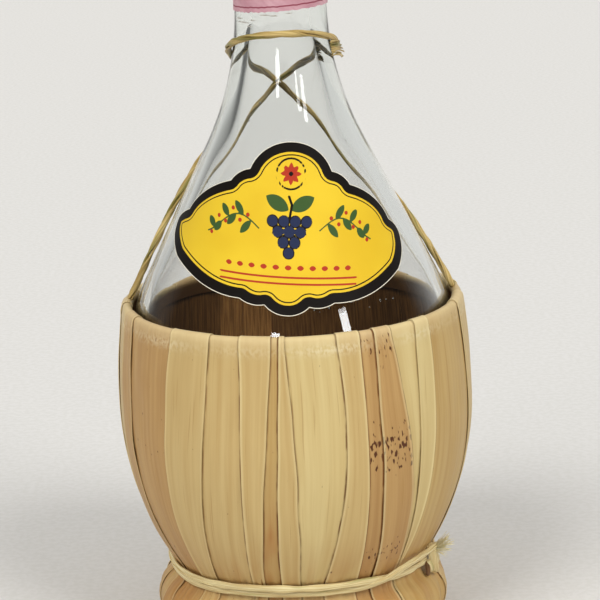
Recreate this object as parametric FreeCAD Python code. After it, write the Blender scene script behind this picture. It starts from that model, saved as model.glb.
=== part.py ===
import FreeCAD
import Part
import math
import os

# Straw-covered wine flask: a round-bottomed clear-glass flask in a basket of husk strips.
# The flask stands on its straw foot ring. The origin is the middle of the foot on the floor,
# +Z is up and the label faces -Y. Lengths are in millimetres and angles in degrees.
# An azimuth is counted from the front (-Y) towards +X.

# Glass flask, outside
BELLY_RADIUS = 59.4
BELLY_HEIGHT = 82.0
BELLY_ARC_RADIUS = 96.0
FLASK_LIFT = 8.0
FLANK_LEAN = 26.6
NECK_ARC_RADIUS = 104.0
NECK_TOP_RADIUS = 13.8
NECK_TOP_HEIGHT = 268.0
NECK_LEAN = 1.7

# Glass flask, lip and mouth
LIP_RADIUS = 15.0
LIP_BAND_HEIGHT = 8.0
LIP_STEP_HEIGHT = 2.0
LIP_CROWN_HEIGHT = 3.0
LIP_CROWN_WIDTH = 2.4
MOUTH_ROUNDING = 2.0
BORE_RADIUS = 9.5

# Glass flask, wall
BELLY_WALL = 3.6
BASE_WALL = 6.0
INSIDE_FLANK_LEAN = 28.0
INSIDE_NECK_ARC_RADIUS = 100.0

# Cork stopper
CORK_LENGTH = 45.0
CORK_PROUD = 10.0
CORK_CLEARANCE = 0.15
CORK_CHAMFER = 0.8

# Paper label and neck seal
PAPER_THICKNESS = 0.25
GLUE_GAP = 0.1
LABEL_BOTTOM_HEIGHT = 121.5
LABEL_TOP_RISE = 52.3
LABEL_CREST_HALF_WIDTH = 13.3
LABEL_CREST_RISE = 43.2
LABEL_SHOULDER_HALF_WIDTH = 19.4
LABEL_SHOULDER_RISE = 38.8
LABEL_EAR_HALF_WIDTH = 32.8
LABEL_EAR_RISE = 26.8
LABEL_TIP_HALF_WIDTH = 37.2
LABEL_TIP_RISE = 20.0
LABEL_SIDE_HALF_WIDTH = 36.4
LABEL_SIDE_RISE = 11.9
LABEL_LOBE_HALF_WIDTH = 15.4
LABEL_LOBE_RISE = 4.0
LABEL_HEEL_HALF_WIDTH = 7.3
LABEL_HEEL_RISE = 2.8
LABEL_CORNERS = (
    (LABEL_CREST_HALF_WIDTH, LABEL_CREST_RISE),
    (LABEL_SHOULDER_HALF_WIDTH, LABEL_SHOULDER_RISE),
    (LABEL_EAR_HALF_WIDTH, LABEL_EAR_RISE),
    (LABEL_TIP_HALF_WIDTH, LABEL_TIP_RISE),
    (LABEL_SIDE_HALF_WIDTH, LABEL_SIDE_RISE),
    (LABEL_LOBE_HALF_WIDTH, LABEL_LOBE_RISE),
    (LABEL_HEEL_HALF_WIDTH, LABEL_HEEL_RISE),
    (0, 0),
)
LABEL_PIVOT_RISE = 25.5
LABEL_TILT = 4.4
LABEL_BULGE_SHARE = 0.1
SEAL_DROP = 52.6
SEAL_HEIGHT = NECK_TOP_HEIGHT - SEAL_DROP
SEAL_WIDTH = 18.0
SEAL_TILT = 2.7
SEAL_WRAP_ANGLE = 352.0

# Husk strips of the basket
PLY = 0.6
PLY_GAP = 0.15
LAP_ANGLE = 1.3
BASKET_GAP = 0.6
BASKET_BELLY_HEIGHT = 80.0
BASKET_LOWER_ARC_RADIUS = 100.0
WAIST_ARC_RADIUS = 6.0
RIM_HOOP_HEIGHT = 114.6
RIM_HOOP_RADIUS = 0.9
RIM_LEG_GAP = 0.3
RIM_LEG_LENGTH = 6.5
FOOT_TUCK_ANGLE = -52.0
FIRST_STRIP_AZIMUTH = -66.0
STRIP_WIDTH_SHARES = (
    20.0, 14.8, 13.3, 7.6, 4.0, 5.4, 15.9, 7.3, 5.1, 10.6, 4.3, 6.5, 26.2, 11.0, 13.5, 8.4,
    18.0, 11.0, 7.6, 14.8, 10.2, 20.5, 6.8, 12.6, 9.4, 15.6, 7.2, 13.0, 10.8, 8.2, 11.6, 8.8,
)

# Straw foot ring
FOOT_RING_RADIUS = 10.45
FOOT_RING_HEIGHT = 10.0
SEAT_GAP = 0.3

# Waist binding: one raffia cord wound twice and knotted
BINDING_RADIUS = 1.4
BINDING_GAP = 0.2
BINDING_TURN_GAP = 0.5
BINDING_TURNS = 2
KNOT_AZIMUTH = 69.0
KNOT_HALF_ANGLE = 5.0
KNOT_RADIUS = 4.8
KNOT_SEAT_GAP = 0.3
BINDING_LIFT_ANGLE = 18.0
TUFT_LENGTH = 11.0
TUFT_ROOT_RADIUS = 1.3
TUFT_END_RADIUS = 2.8
TUFT_TURN = 25.0
TUFT_RISE = 28.0
STUB_LENGTH = 6.5
STUB_ROOT_RADIUS = 1.5
STUB_END_RADIUS = 1.9
STUB_FALL = -62.0

# Neck cord: one raffia cord from rim to rim, crossed behind the neck and looped round its front
NECK_CORD_RADIUS = 1.5
NECK_CORD_GAP = 0.3
NECK_CORD_CROSSING_GAP = 0.5
NECK_CORD_END_GAP = 0.3
NECK_CORD_END_LEAN = 28.0
NECK_CORD_HOLE_CLEARANCE = 0.3
LEFT_ANCHOR_AZIMUTH = -92.0
RIGHT_ANCHOR_AZIMUTH = 93.0

CUT_OVERRUN = 5.0
STRAIGHT_SHARE = 1e-5
SMALL_TURN = 0.1
HALF_TURN = 180.0
FULL_TURN = 360.0
CUBIC_MM_PER_LITRE = 1e6
Z_AXIS = FreeCAD.Vector(0, 0, 1)
ORIGIN = FreeCAD.Vector(0, 0, 0)


def cos(angle):
    return math.cos(math.radians(angle))


def sin(angle):
    return math.sin(math.radians(angle))


def tan(angle):
    return math.tan(math.radians(angle))


def profile_point(radius, height):
    """A point of the half section, in the XZ plane."""
    return FreeCAD.Vector(radius, 0, height)


def polar(centre, radius, angle):
    """The point of the half section at a radius and an angle from a centre."""
    return centre + FreeCAD.Vector(radius * cos(angle), 0, radius * sin(angle))


def bearing(start, end):
    """The angle of the direction from one point of the half section to another."""
    return math.degrees(math.atan2(end.z - start.z, end.x - start.x))


def line(start, end):
    return Part.LineSegment(start, end).toShape()


def arc(centre, radius, start, end):
    middle = (start + end) / 2
    points = [polar(centre, radius, angle) for angle in (start, middle, end)]
    return Part.Arc(*points).toShape()


def face_of(edges):
    return Part.Face(Part.Wire(Part.__sortEdges__(edges)))


def revolved(face, angle=FULL_TURN):
    return face.revolve(ORIGIN, Z_AXIS, angle)


def facing(azimuth):
    """The level unit vector that points to an azimuth."""
    return FreeCAD.Vector(sin(azimuth), -cos(azimuth), 0)


def turned_to(shape, azimuth):
    """A copy of a shape made at +X, turned to an azimuth."""
    copy = shape.copy()
    copy.rotate(ORIGIN, Z_AXIS, azimuth - FULL_TURN / 4)
    return copy


# Glass flask

BELLY_CENTRE = profile_point(BELLY_RADIUS - BELLY_ARC_RADIUS, BELLY_HEIGHT)


def dome(belly_arc_radius, lowest):
    """Centre and radius of the round bottom, on the axis and tangent to the belly arc."""
    rise = BELLY_CENTRE.z - lowest
    radius = (belly_arc_radius**2 - BELLY_CENTRE.x**2 - rise**2) / (2 * (belly_arc_radius - rise))
    return profile_point(0, lowest + radius), radius


def flank_and_neck(belly_arc_radius, flank_lean, neck_foot, neck_lean, neck_arc_radius):
    """The points where the flank line leaves the belly, and where the neck arc starts and ends."""
    flank_foot = polar(BELLY_CENTRE, belly_arc_radius, flank_lean)
    spread = flank_foot.x - neck_foot.x - (neck_foot.z - flank_foot.z) * tan(neck_lean)
    rise = spread / (tan(flank_lean) - tan(neck_lean))
    corner = profile_point(flank_foot.x - rise * tan(flank_lean), flank_foot.z + rise)
    reach = neck_arc_radius * tan((flank_lean - neck_lean) / 2)
    arc_start = corner + profile_point(sin(flank_lean), -cos(flank_lean)) * reach
    arc_end = corner + profile_point(-sin(neck_lean), cos(neck_lean)) * reach
    return flank_foot, arc_start, arc_end


DOME_CENTRE, DOME_RADIUS = dome(BELLY_ARC_RADIUS, FLASK_LIFT)
NECK_TOP = profile_point(NECK_TOP_RADIUS, NECK_TOP_HEIGHT)
FLANK_FOOT, NECK_ARC_START, NECK_ARC_END = flank_and_neck(
    BELLY_ARC_RADIUS, FLANK_LEAN, NECK_TOP, NECK_LEAN, NECK_ARC_RADIUS
)
NECK_ARC_CENTRE = polar(NECK_ARC_END, NECK_ARC_RADIUS, NECK_LEAN)
LIP_BAND_BOTTOM = NECK_TOP_HEIGHT + LIP_STEP_HEIGHT
LIP_BAND_TOP = LIP_BAND_BOTTOM + LIP_BAND_HEIGHT
MOUTH_HEIGHT = LIP_BAND_TOP + LIP_CROWN_HEIGHT


def glass_side(offset, low_angle):
    """Edges of the glass side from the belly to the neck top, moved outwards by an offset."""
    shift_flank = polar(ORIGIN, offset, FLANK_LEAN)
    shift_neck = polar(ORIGIN, offset, NECK_LEAN)
    inner_arc = NECK_ARC_RADIUS - offset
    return [
        arc(BELLY_CENTRE, BELLY_ARC_RADIUS + offset, low_angle, FLANK_LEAN),
        line(FLANK_FOOT + shift_flank, NECK_ARC_START + shift_flank),
        arc(NECK_ARC_CENTRE, inner_arc, HALF_TURN + FLANK_LEAN, HALF_TURN + NECK_LEAN),
        line(NECK_ARC_END + shift_neck, NECK_TOP + shift_neck),
    ]


def glass_surface(height):
    """Radius of the glass at a height, and the angle of its outward normal."""
    if height < FLANK_FOOT.z:
        normal = math.degrees(math.asin((height - BELLY_CENTRE.z) / BELLY_ARC_RADIUS))
        return polar(BELLY_CENTRE, BELLY_ARC_RADIUS, normal).x, normal
    if height < NECK_ARC_START.z:
        return FLANK_FOOT.x - (height - FLANK_FOOT.z) * tan(FLANK_LEAN), FLANK_LEAN
    if height < NECK_ARC_END.z:
        normal = math.degrees(math.asin((NECK_ARC_CENTRE.z - height) / NECK_ARC_RADIUS))
        return polar(NECK_ARC_CENTRE, NECK_ARC_RADIUS, HALF_TURN + normal).x, normal
    return NECK_TOP.x + (NECK_TOP.z - height) * tan(NECK_LEAN), NECK_LEAN


def beside_glass(azimuth, height, stand_off):
    """A point at a stand-off from the glass."""
    radius, normal = glass_surface(height)
    level = facing(azimuth) * (radius + stand_off * cos(normal))
    return level + Z_AXIS * (height + stand_off * sin(normal))


def lip_edges():
    """Lip ring from the neck top over the crown to the edge of the bore."""
    step_top = profile_point(LIP_RADIUS, LIP_BAND_BOTTOM)
    band_top = profile_point(LIP_RADIUS, LIP_BAND_TOP)
    crown_outer = profile_point(LIP_RADIUS - LIP_CROWN_WIDTH, MOUTH_HEIGHT)
    crown_inner = profile_point(BORE_RADIUS + MOUTH_ROUNDING, MOUTH_HEIGHT)
    bore_top = profile_point(BORE_RADIUS, MOUTH_HEIGHT - MOUTH_ROUNDING)
    crown_middle = profile_point(
        crown_outer.x + LIP_CROWN_WIDTH * cos(FULL_TURN / 8),
        band_top.z + LIP_CROWN_HEIGHT * sin(FULL_TURN / 8),
    )
    edges = [
        line(NECK_TOP, step_top),
        line(step_top, band_top),
        Part.Arc(band_top, crown_middle, crown_outer).toShape(),
        line(crown_outer, crown_inner),
        arc(profile_point(crown_inner.x, bore_top.z), MOUTH_ROUNDING, FULL_TURN / 4, HALF_TURN),
    ]
    return edges, bore_top


def cavity_edges(bore_top):
    """Inside of the flask, from the bore down to the axis."""
    inner_belly_arc = BELLY_ARC_RADIUS - BELLY_WALL
    neck_foot = profile_point(BORE_RADIUS, MOUTH_HEIGHT)
    flank_foot, arc_start, arc_end = flank_and_neck(
        inner_belly_arc, INSIDE_FLANK_LEAN, neck_foot, 0, INSIDE_NECK_ARC_RADIUS
    )
    arc_centre = arc_end + profile_point(INSIDE_NECK_ARC_RADIUS, 0)
    lowest = FLASK_LIFT + BASE_WALL
    centre, radius = dome(inner_belly_arc, lowest)
    joint = bearing(BELLY_CENTRE, centre)
    return [
        line(bore_top, arc_end),
        arc(arc_centre, INSIDE_NECK_ARC_RADIUS, HALF_TURN, HALF_TURN + INSIDE_FLANK_LEAN),
        line(arc_start, flank_foot),
        arc(BELLY_CENTRE, inner_belly_arc, INSIDE_FLANK_LEAN, joint),
        arc(centre, radius, joint, -FULL_TURN / 4),
    ]


def make_flask():
    joint = bearing(BELLY_CENTRE, DOME_CENTRE)
    lip, bore_top = lip_edges()
    cavity = cavity_edges(bore_top)
    bottom = line(profile_point(0, FLASK_LIFT), profile_point(0, FLASK_LIFT + BASE_WALL))
    outside = [arc(DOME_CENTRE, DOME_RADIUS, -FULL_TURN / 4, joint)]
    outside += glass_side(0, joint)
    return revolved(face_of(outside + lip + cavity + [bottom]))


def make_wine_space():
    """The space inside the flask up to the brim, used only to measure its capacity."""
    _, bore_top = lip_edges()
    floor = profile_point(0, FLASK_LIFT + BASE_WALL)
    brim = profile_point(0, bore_top.z)
    return revolved(face_of(cavity_edges(bore_top) + [line(bore_top, brim), line(brim, floor)]))


def make_cork():
    radius = BORE_RADIUS - CORK_CLEARANCE
    bottom = MOUTH_HEIGHT + CORK_PROUD - CORK_LENGTH
    cork = Part.makeCylinder(radius, CORK_LENGTH, profile_point(0, bottom))
    rims = [edge for edge in cork.Edges if edge.Closed]
    return cork.makeChamfer(CORK_CHAMFER, rims)


# Paper on the glass

def paper_on_glass():
    """A paper-thin skin all round the glass side, from belly to neck top."""
    inner = glass_side(GLUE_GAP, 0)
    outer = glass_side(GLUE_GAP + PAPER_THICKNESS, 0)
    ends = [
        line(inner[0].Vertexes[0].Point, outer[0].Vertexes[0].Point),
        line(inner[-1].Vertexes[-1].Point, outer[-1].Vertexes[-1].Point),
    ]
    return face_of(inner + outer + ends)


def bulged(start, end, share):
    """An arc between two points of the label that bulges by a share of their distance."""
    chord = end - start
    side = FreeCAD.Vector(-chord.z, 0, chord.x)
    return Part.Arc(start, (start + end) / 2 + side * share, end).toShape()


def label_point(across, rise):
    """A point of the label's front outline, before it is tilted."""
    return profile_point(across, LABEL_BOTTOM_HEIGHT + rise)


def make_label():
    """A scalloped cartouche from a round crest to a pointed foot, cut from the front, glued askew."""
    right = [label_point(across, rise) for across, rise in LABEL_CORNERS]
    left = [label_point(-across, rise) for across, rise in LABEL_CORNERS]
    edges = [Part.Arc(left[0], label_point(0, LABEL_TOP_RISE), right[0]).toShape()]
    for first, second in zip(range(len(right) - 1), range(1, len(right))):
        edges.append(bulged(right[first], right[second], LABEL_BULGE_SHARE))
        edges.append(bulged(left[second], left[first], LABEL_BULGE_SHARE))
    depth = BELLY_RADIUS + CUT_OVERRUN
    block = face_of(edges).extrude(FreeCAD.Vector(0, -depth, 0))
    block.rotate(label_point(0, LABEL_PIVOT_RISE), FreeCAD.Vector(0, 1, 0), LABEL_TILT)
    return revolved(paper_on_glass()).common(block)


def make_seal():
    open_back = HALF_TURN + (FULL_TURN - SEAL_WRAP_ANGLE) / 2
    ring = turned_to(revolved(paper_on_glass(), SEAL_WRAP_ANGLE), open_back)
    slab = Part.makeCylinder(BELLY_RADIUS, SEAL_WIDTH, profile_point(0, SEAL_HEIGHT))
    slab.rotate(profile_point(0, SEAL_HEIGHT), FreeCAD.Vector(0, 1, 0), -SEAL_TILT)
    return ring.common(slab)


# Basket: hoop, strips and foot ring

STRIP_STACK = 2 * PLY + PLY_GAP
FOLD_RADIUS = RIM_HOOP_RADIUS + PLY_GAP
HOOP_REACH = BELLY_ARC_RADIUS + RIM_LEG_GAP + STRIP_STACK + FOLD_RADIUS
HOOP_CENTRE = profile_point(
    BELLY_CENTRE.x + math.sqrt(HOOP_REACH**2 - (RIM_HOOP_HEIGHT - BELLY_HEIGHT) ** 2),
    RIM_HOOP_HEIGHT,
)
LEG_ANGLE = bearing(HOOP_CENTRE, BELLY_CENTRE) % FULL_TURN
BASKET_RADIUS = BELLY_RADIUS + BASKET_GAP

RIM_DROP = BASKET_RADIUS - HOOP_CENTRE.x
RIM_RISE = RIM_HOOP_HEIGHT - BASKET_BELLY_HEIGHT
UPPER_ARC_RADIUS = (RIM_DROP**2 + RIM_RISE**2 - FOLD_RADIUS**2) / (2 * (RIM_DROP - FOLD_RADIUS))
UPPER_CENTRE = profile_point(BASKET_RADIUS - UPPER_ARC_RADIUS, BASKET_BELLY_HEIGHT)
LOWER_CENTRE = profile_point(BASKET_RADIUS - BASKET_LOWER_ARC_RADIUS, BASKET_BELLY_HEIGHT)

SEAT_REACH = DOME_RADIUS + SEAT_GAP + FOOT_RING_RADIUS
FOOT_CENTRE = profile_point(
    math.sqrt(SEAT_REACH**2 - (DOME_CENTRE.z - FOOT_RING_HEIGHT) ** 2), FOOT_RING_HEIGHT
)
FOOT_ARC_RADIUS = FOOT_RING_RADIUS + PLY_GAP


def waist_centre():
    """Centre of the hollow arc that is tangent to the lower belly arc and to the foot arc."""
    belly_reach = BASKET_LOWER_ARC_RADIUS + WAIST_ARC_RADIUS
    foot_reach = FOOT_ARC_RADIUS + WAIST_ARC_RADIUS
    across = LOWER_CENTRE - FOOT_CENTRE
    along = (foot_reach**2 - belly_reach**2 + across.Length**2) / (2 * across.Length)
    aside = math.sqrt(foot_reach**2 - along**2)
    ahead = across.normalize()
    return FOOT_CENTRE + ahead * along + FreeCAD.Vector(ahead.z, 0, -ahead.x) * aside


WAIST_CENTRE = waist_centre()


def strip_side(offset):
    """Edges of one face of a strip, from the leg inside the rim to the tuck under the foot."""
    leg_normal = polar(ORIGIN, FOLD_RADIUS + offset, LEG_ANGLE)
    leg_down = polar(ORIGIN, RIM_LEG_LENGTH, LEG_ANGLE + FULL_TURN / 4)
    leg_top = HOOP_CENTRE + leg_normal
    rim_angle = bearing(UPPER_CENTRE, HOOP_CENTRE)
    waist_angle = bearing(LOWER_CENTRE, WAIST_CENTRE)
    foot_angle = bearing(FOOT_CENTRE, WAIST_CENTRE)
    edges = [
        line(leg_top + leg_down, leg_top),
        arc(HOOP_CENTRE, FOLD_RADIUS + offset, LEG_ANGLE, rim_angle),
        arc(UPPER_CENTRE, UPPER_ARC_RADIUS + offset, rim_angle, 0),
        arc(LOWER_CENTRE, BASKET_LOWER_ARC_RADIUS + offset, 0, waist_angle),
        arc(WAIST_CENTRE, WAIST_ARC_RADIUS - offset, HALF_TURN + waist_angle, HALF_TURN + foot_angle),
        arc(FOOT_CENTRE, FOOT_ARC_RADIUS + offset, foot_angle, FOOT_TUCK_ANGLE),
    ]
    return edges, leg_top + leg_down, polar(FOOT_CENTRE, FOOT_ARC_RADIUS + offset, FOOT_TUCK_ANGLE)


def strip_section(offset):
    inner, inner_leg, inner_tuck = strip_side(offset)
    outer, outer_leg, outer_tuck = strip_side(offset + PLY)
    return face_of(inner + outer + [line(inner_leg, outer_leg), line(inner_tuck, outer_tuck)])


def cord_end(azimuth):
    """The hoop's middle where an end of the neck cord meets it, and the way the cord leads from there."""
    way = facing(azimuth) * -sin(NECK_CORD_END_LEAN) + Z_AXIS * cos(NECK_CORD_END_LEAN)
    return facing(azimuth) * HOOP_CENTRE.x + Z_AXIS * HOOP_CENTRE.z, way


def cord_hole(azimuth):
    """The clearance that an end of the neck cord needs through the fold of the rim."""
    radius = NECK_CORD_RADIUS + NECK_CORD_HOLE_CLEARANCE
    hoop, way = cord_end(azimuth)
    return Part.makeCylinder(radius, FOLD_RADIUS + STRIP_STACK + CUT_OVERRUN, hoop, way)


def make_strips():
    """The husk strips: every other one lies under the edges of its neighbours."""
    sections = (strip_section(0), strip_section(PLY + PLY_GAP))
    holes = [cord_hole(azimuth) for azimuth in (LEFT_ANCHOR_AZIMUTH, RIGHT_ANCHOR_AZIMUTH)]
    degrees_per_share = FULL_TURN / sum(STRIP_WIDTH_SHARES)
    start = FIRST_STRIP_AZIMUTH
    strips = {}
    for number, share in enumerate(STRIP_WIDTH_SHARES):
        width = share * degrees_per_share
        ply = number % 2
        lap = 0 if ply else LAP_ANGLE
        strip = turned_to(revolved(sections[ply], width + 2 * lap), start - lap)
        for hole in holes:
            if strip.distToShape(hole)[0] == 0:
                strip = strip.cut(hole)
        strips[f"husk_strip_{number + 1:02d}"] = strip
        start += width
    return strips


def make_rim_hoop():
    return Part.makeTorus(HOOP_CENTRE.x, RIM_HOOP_RADIUS, profile_point(0, HOOP_CENTRE.z))


def make_foot_ring():
    """A rolled straw ring, flattened where it stands."""
    ring = Part.makeTorus(FOOT_CENTRE.x, FOOT_RING_RADIUS, profile_point(0, FOOT_CENTRE.z))
    reach = FOOT_CENTRE.x + FOOT_RING_RADIUS + CUT_OVERRUN
    floor = Part.makeCylinder(reach, CUT_OVERRUN, profile_point(0, -CUT_OVERRUN))
    return ring.cut(floor)


# Cords

def tangent_arc(start, direction, end):
    """The arc that leaves a point along a direction and ends at another point."""
    chord = end - start
    half = chord.Length / 2
    ahead = FreeCAD.Vector(chord).normalize()
    aside = direction - ahead * direction.dot(ahead)
    if aside.Length < STRAIGHT_SHARE:
        return line(start, end)
    angle = ahead.getAngle(direction)
    middle = start + ahead * half + aside.normalize() * half * math.tan(angle / 2)
    return Part.Arc(start, middle, end).toShape()


def biarc(start, start_way, end, end_way):
    """Two tangent arcs between two points with given directions."""
    gap = end - start
    ways = start_way + end_way
    spread = 2 * (1 - start_way.dot(end_way))
    if spread < STRAIGHT_SHARE**2:
        reach = gap.dot(gap) / (2 * gap.dot(ways))
    else:
        lean = gap.dot(ways)
        reach = (math.sqrt(lean**2 + spread * gap.dot(gap)) - lean) / spread
    middle = (start + start_way * reach + end - end_way * reach) / 2
    back = tangent_arc(end, end_way * -1, middle)
    return [tangent_arc(start, start_way, middle), back]


def ways_through(points):
    """The direction of a smooth curve at each point between the first and the last."""
    ways = []
    for before, here, after in zip(points, points[1:], points[2:]):
        run_in = here - before
        run_out = after - here
        way = run_in * (run_out.Length / run_in.Length) + run_out * (run_in.Length / run_out.Length)
        ways.append(way.normalize())
    return ways


def smooth_edges(points, ways):
    """A smooth line of biarcs through points, with a direction at each."""
    edges = []
    for number in range(len(points) - 1):
        edges += biarc(points[number], ways[number], points[number + 1], ways[number + 1])
    return edges


def cord_along(edges, start, way, radius):
    section = Part.Wire(Part.Circle(start, way, radius).toShape())
    return Part.Wire(Part.__sortEdges__(edges)).makePipeShell([section], True, False)


def least_gap(edges, radius, apart):
    """Least distance between parts of a cord that are further along it than a given length."""
    points = []
    places = []
    run = 0
    for edge in edges:
        steps = max(2, int(edge.Length / radius) + 1)
        ordered = edge.discretize(steps)
        if points and (ordered[0] - points[-1]).Length > (ordered[-1] - points[-1]).Length:
            ordered.reverse()
        for number, point in enumerate(ordered):
            points.append(point)
            places.append(run + edge.Length * number / (steps - 1))
        run += edge.Length
    least = run
    for first in range(len(points)):
        for second in range(first + 1, len(points)):
            if places[second] - places[first] > apart:
                least = min(least, (points[first] - points[second]).Length)
    return least - 2 * radius


def eased(share):
    """A smooth step from 0 to 1."""
    share = min(1, max(0, share))
    return share * share * (3 - 2 * share)


BINDING_REACH = WAIST_ARC_RADIUS - STRIP_STACK - BINDING_GAP - BINDING_RADIUS
BINDING_PITCH = 2 * BINDING_RADIUS + BINDING_TURN_GAP
BINDING_CIRCLE = WAIST_CENTRE.x - math.sqrt(BINDING_REACH**2 - (BINDING_PITCH / 2) ** 2)
KNOT_INNER = BINDING_CIRCLE + BINDING_RADIUS + KNOT_SEAT_GAP
KNOT_CENTRE_RADIUS = KNOT_INNER + KNOT_RADIUS / 2
KNOT_SIDE_ANGLE = KNOT_HALF_ANGLE + math.degrees(KNOT_SEAT_GAP / KNOT_CENTRE_RADIUS)


BINDING_WHOLE_TURN = BINDING_TURNS * FULL_TURN - 2 * KNOT_SIDE_ANGLE
BINDING_CLIMB_TURN = 2 * (KNOT_SIDE_ANGLE + BINDING_LIFT_ANGLE)


def binding_climbs():
    """The turns at which the binding starts to climb to its next loop, as it passes under the knot."""
    return [loop * FULL_TURN - 2 * KNOT_SIDE_ANGLE - BINDING_LIFT_ANGLE for loop in range(1, BINDING_TURNS)]


def binding_point(turned):
    """Centre of the binding cord after it has turned by an angle from the knot's far side."""
    left_to_turn = BINDING_WHOLE_TURN - turned
    lifted = eased(1 - turned / BINDING_LIFT_ANGLE) + eased(1 - left_to_turn / BINDING_LIFT_ANGLE)
    radius = BINDING_CIRCLE + lifted * (KNOT_CENTRE_RADIUS + BINDING_RADIUS - BINDING_CIRCLE)
    climbed = sum(eased((turned - climb) / BINDING_CLIMB_TURN) for climb in binding_climbs())
    height = WAIST_CENTRE.z + BINDING_PITCH * (climbed - (BINDING_TURNS - 1) / 2)
    return facing(KNOT_AZIMUTH + KNOT_SIDE_ANGLE + turned) * radius + Z_AXIS * height


def binding_stops():
    """The turns at which the binding's arcs meet: quarter turns, and closer stops near the knot."""
    ends = [0, BINDING_LIFT_ANGLE / 2, BINDING_LIFT_ANGLE]
    stops = ends + [BINDING_WHOLE_TURN - angle for angle in ends]
    for loop in range(BINDING_TURNS):
        stops += [loop * FULL_TURN + quarter * FULL_TURN / 4 for quarter in (1, 2, 3)]
    for climb in binding_climbs():
        stops += [climb + BINDING_CLIMB_TURN * step / 4 for step in range(5)]
    return sorted(stops)


def binding_way(turned):
    """Direction of the binding cord at a turn."""
    return (binding_point(turned + SMALL_TURN) - binding_point(turned - SMALL_TURN)).normalize()


def make_binding():
    stops = binding_stops()
    first, last = binding_point(stops[0]), binding_point(stops[-1])
    first_way, last_way = binding_way(stops[0]), binding_way(stops[-1])
    run = 2 * BINDING_RADIUS
    inner = stops[1:-1]
    points = [first + first_way * run] + [binding_point(turned) for turned in inner] + [last - last_way * run]
    ways = [first_way] + [binding_way(turned) for turned in inner] + [last_way]
    edges = [line(first, points[0])] + smooth_edges(points, ways) + [line(points[-1], last)]
    gap = least_gap(edges, BINDING_RADIUS, BINDING_CIRCLE)
    print(f"waist binding: least gap to itself {gap:.2f} mm")
    return cord_along(edges, first, first_way, BINDING_RADIUS)


def make_knot():
    """The knot outside the binding, with one frayed end and one cut stub."""
    centre = profile_point(KNOT_INNER, WAIST_CENTRE.z)
    height = 2 * (KNOT_RADIUS + CUT_OVERRUN)
    foot = profile_point(0, WAIST_CENTRE.z - height / 2)
    outer = KNOT_INNER + KNOT_RADIUS + CUT_OVERRUN
    room = Part.makeCylinder(outer, height, foot, Z_AXIS, 2 * KNOT_HALF_ANGLE)
    room.rotate(ORIGIN, Z_AXIS, -KNOT_HALF_ANGLE)
    room = room.cut(Part.makeCylinder(KNOT_INNER, height, foot))
    lump = Part.makeSphere(KNOT_RADIUS, centre).common(room)
    root = profile_point(KNOT_CENTRE_RADIUS, WAIST_CENTRE.z)
    tuft_way = polar(ORIGIN, 1, TUFT_RISE)
    stub_way = polar(ORIGIN, 1, STUB_FALL)
    tuft = Part.makeCone(TUFT_ROOT_RADIUS, TUFT_END_RADIUS, TUFT_LENGTH, root, tuft_way)
    tuft.rotate(root, Z_AXIS, TUFT_TURN)
    stub = Part.makeCone(STUB_ROOT_RADIUS, STUB_END_RADIUS, STUB_LENGTH, root, stub_way)
    return turned_to(lump.fuse([tuft, stub]), KNOT_AZIMUTH)


# Route of the neck cord from the left rim to the right rim: azimuth, height and layers off the glass
NECK_CORD_ROUTE = (
    (-94.0, 127.0, 0),
    (-98.0, 138.0, 0),
    (-105.0, 149.0, 0),
    (-115.0, 160.0, 0),
    (-129.0, 170.0, 0),
    (-147.0, 179.0, 0),
    (-170.0, 187.0, 0),
    (-195.0, 191.5, 0),
    (-222.0, 195.0, 0),
    (-246.0, 198.2, 0),
    (-270.0, 201.2, 0),
    (-300.0, 205.0, 0),
    (-330.0, 207.4, 0),
    (-360.0, 208.2, 0),
    (-390.0, 207.2, 0),
    (-420.0, 204.4, 0),
    (-450.0, 200.4, 0),
    (-474.0, 197.0, 0.15),
    (-500.0, 193.0, 0.7),
    (-530.0, 187.0, 1),
    (-554.0, 180.0, 0.7),
    (-571.0, 172.0, 0.15),
    (-584.0, 163.0, 0),
    (-596.0, 153.0, 0),
    (-608.0, 142.0, 0),
    (-618.0, 130.0, 0),
)


def make_neck_cord():
    layer = 2 * NECK_CORD_RADIUS + NECK_CORD_CROSSING_GAP
    seat = NECK_CORD_GAP + NECK_CORD_RADIUS
    left_hoop, left_way = cord_end(LEFT_ANCHOR_AZIMUTH)
    right_hoop, right_way = cord_end(RIGHT_ANCHOR_AZIMUTH)
    stop = RIM_HOOP_RADIUS + NECK_CORD_END_GAP
    first, last = left_hoop + left_way * stop, right_hoop + right_way * stop
    run = 2 * NECK_CORD_RADIUS
    points = [first + left_way * run]
    points += [beside_glass(turn, height, seat + layer * layers) for turn, height, layers in NECK_CORD_ROUTE]
    points += [last + right_way * run]
    ways = [left_way] + ways_through(points) + [right_way * -1]
    edges = [line(first, points[0])] + smooth_edges(points, ways) + [line(points[-1], last)]
    gap = least_gap(edges, NECK_CORD_RADIUS, 4 * layer)
    print(f"neck cord: length {sum(edge.Length for edge in edges):.0f} mm, least gap to itself {gap:.2f} mm")
    return cord_along(edges, first, left_way, NECK_CORD_RADIUS)


def main():
    os.makedirs("parts", exist_ok=True)
    shapes = {
        "glass_flask": make_flask(),
        "cork_stopper": make_cork(),
        "front_label": make_label(),
        "neck_seal_strip": make_seal(),
        "neck_cord": make_neck_cord(),
        "rim_hoop": make_rim_hoop(),
        "waist_binding": make_binding(),
        "binding_knot": make_knot(),
        "foot_ring": make_foot_ring(),
    }
    shapes.update(make_strips())
    print(f"capacity to the brim: {make_wine_space().Volume / CUBIC_MM_PER_LITRE:.3f} litres")
    for name, shape in shapes.items():
        shape.exportStep(os.path.join("parts", f"{name}.step"))
        print(f"{name}: valid {shape.isValid()}, solids {len(shape.Solids)}, volume {shape.Volume:.1f}")


main()
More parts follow.
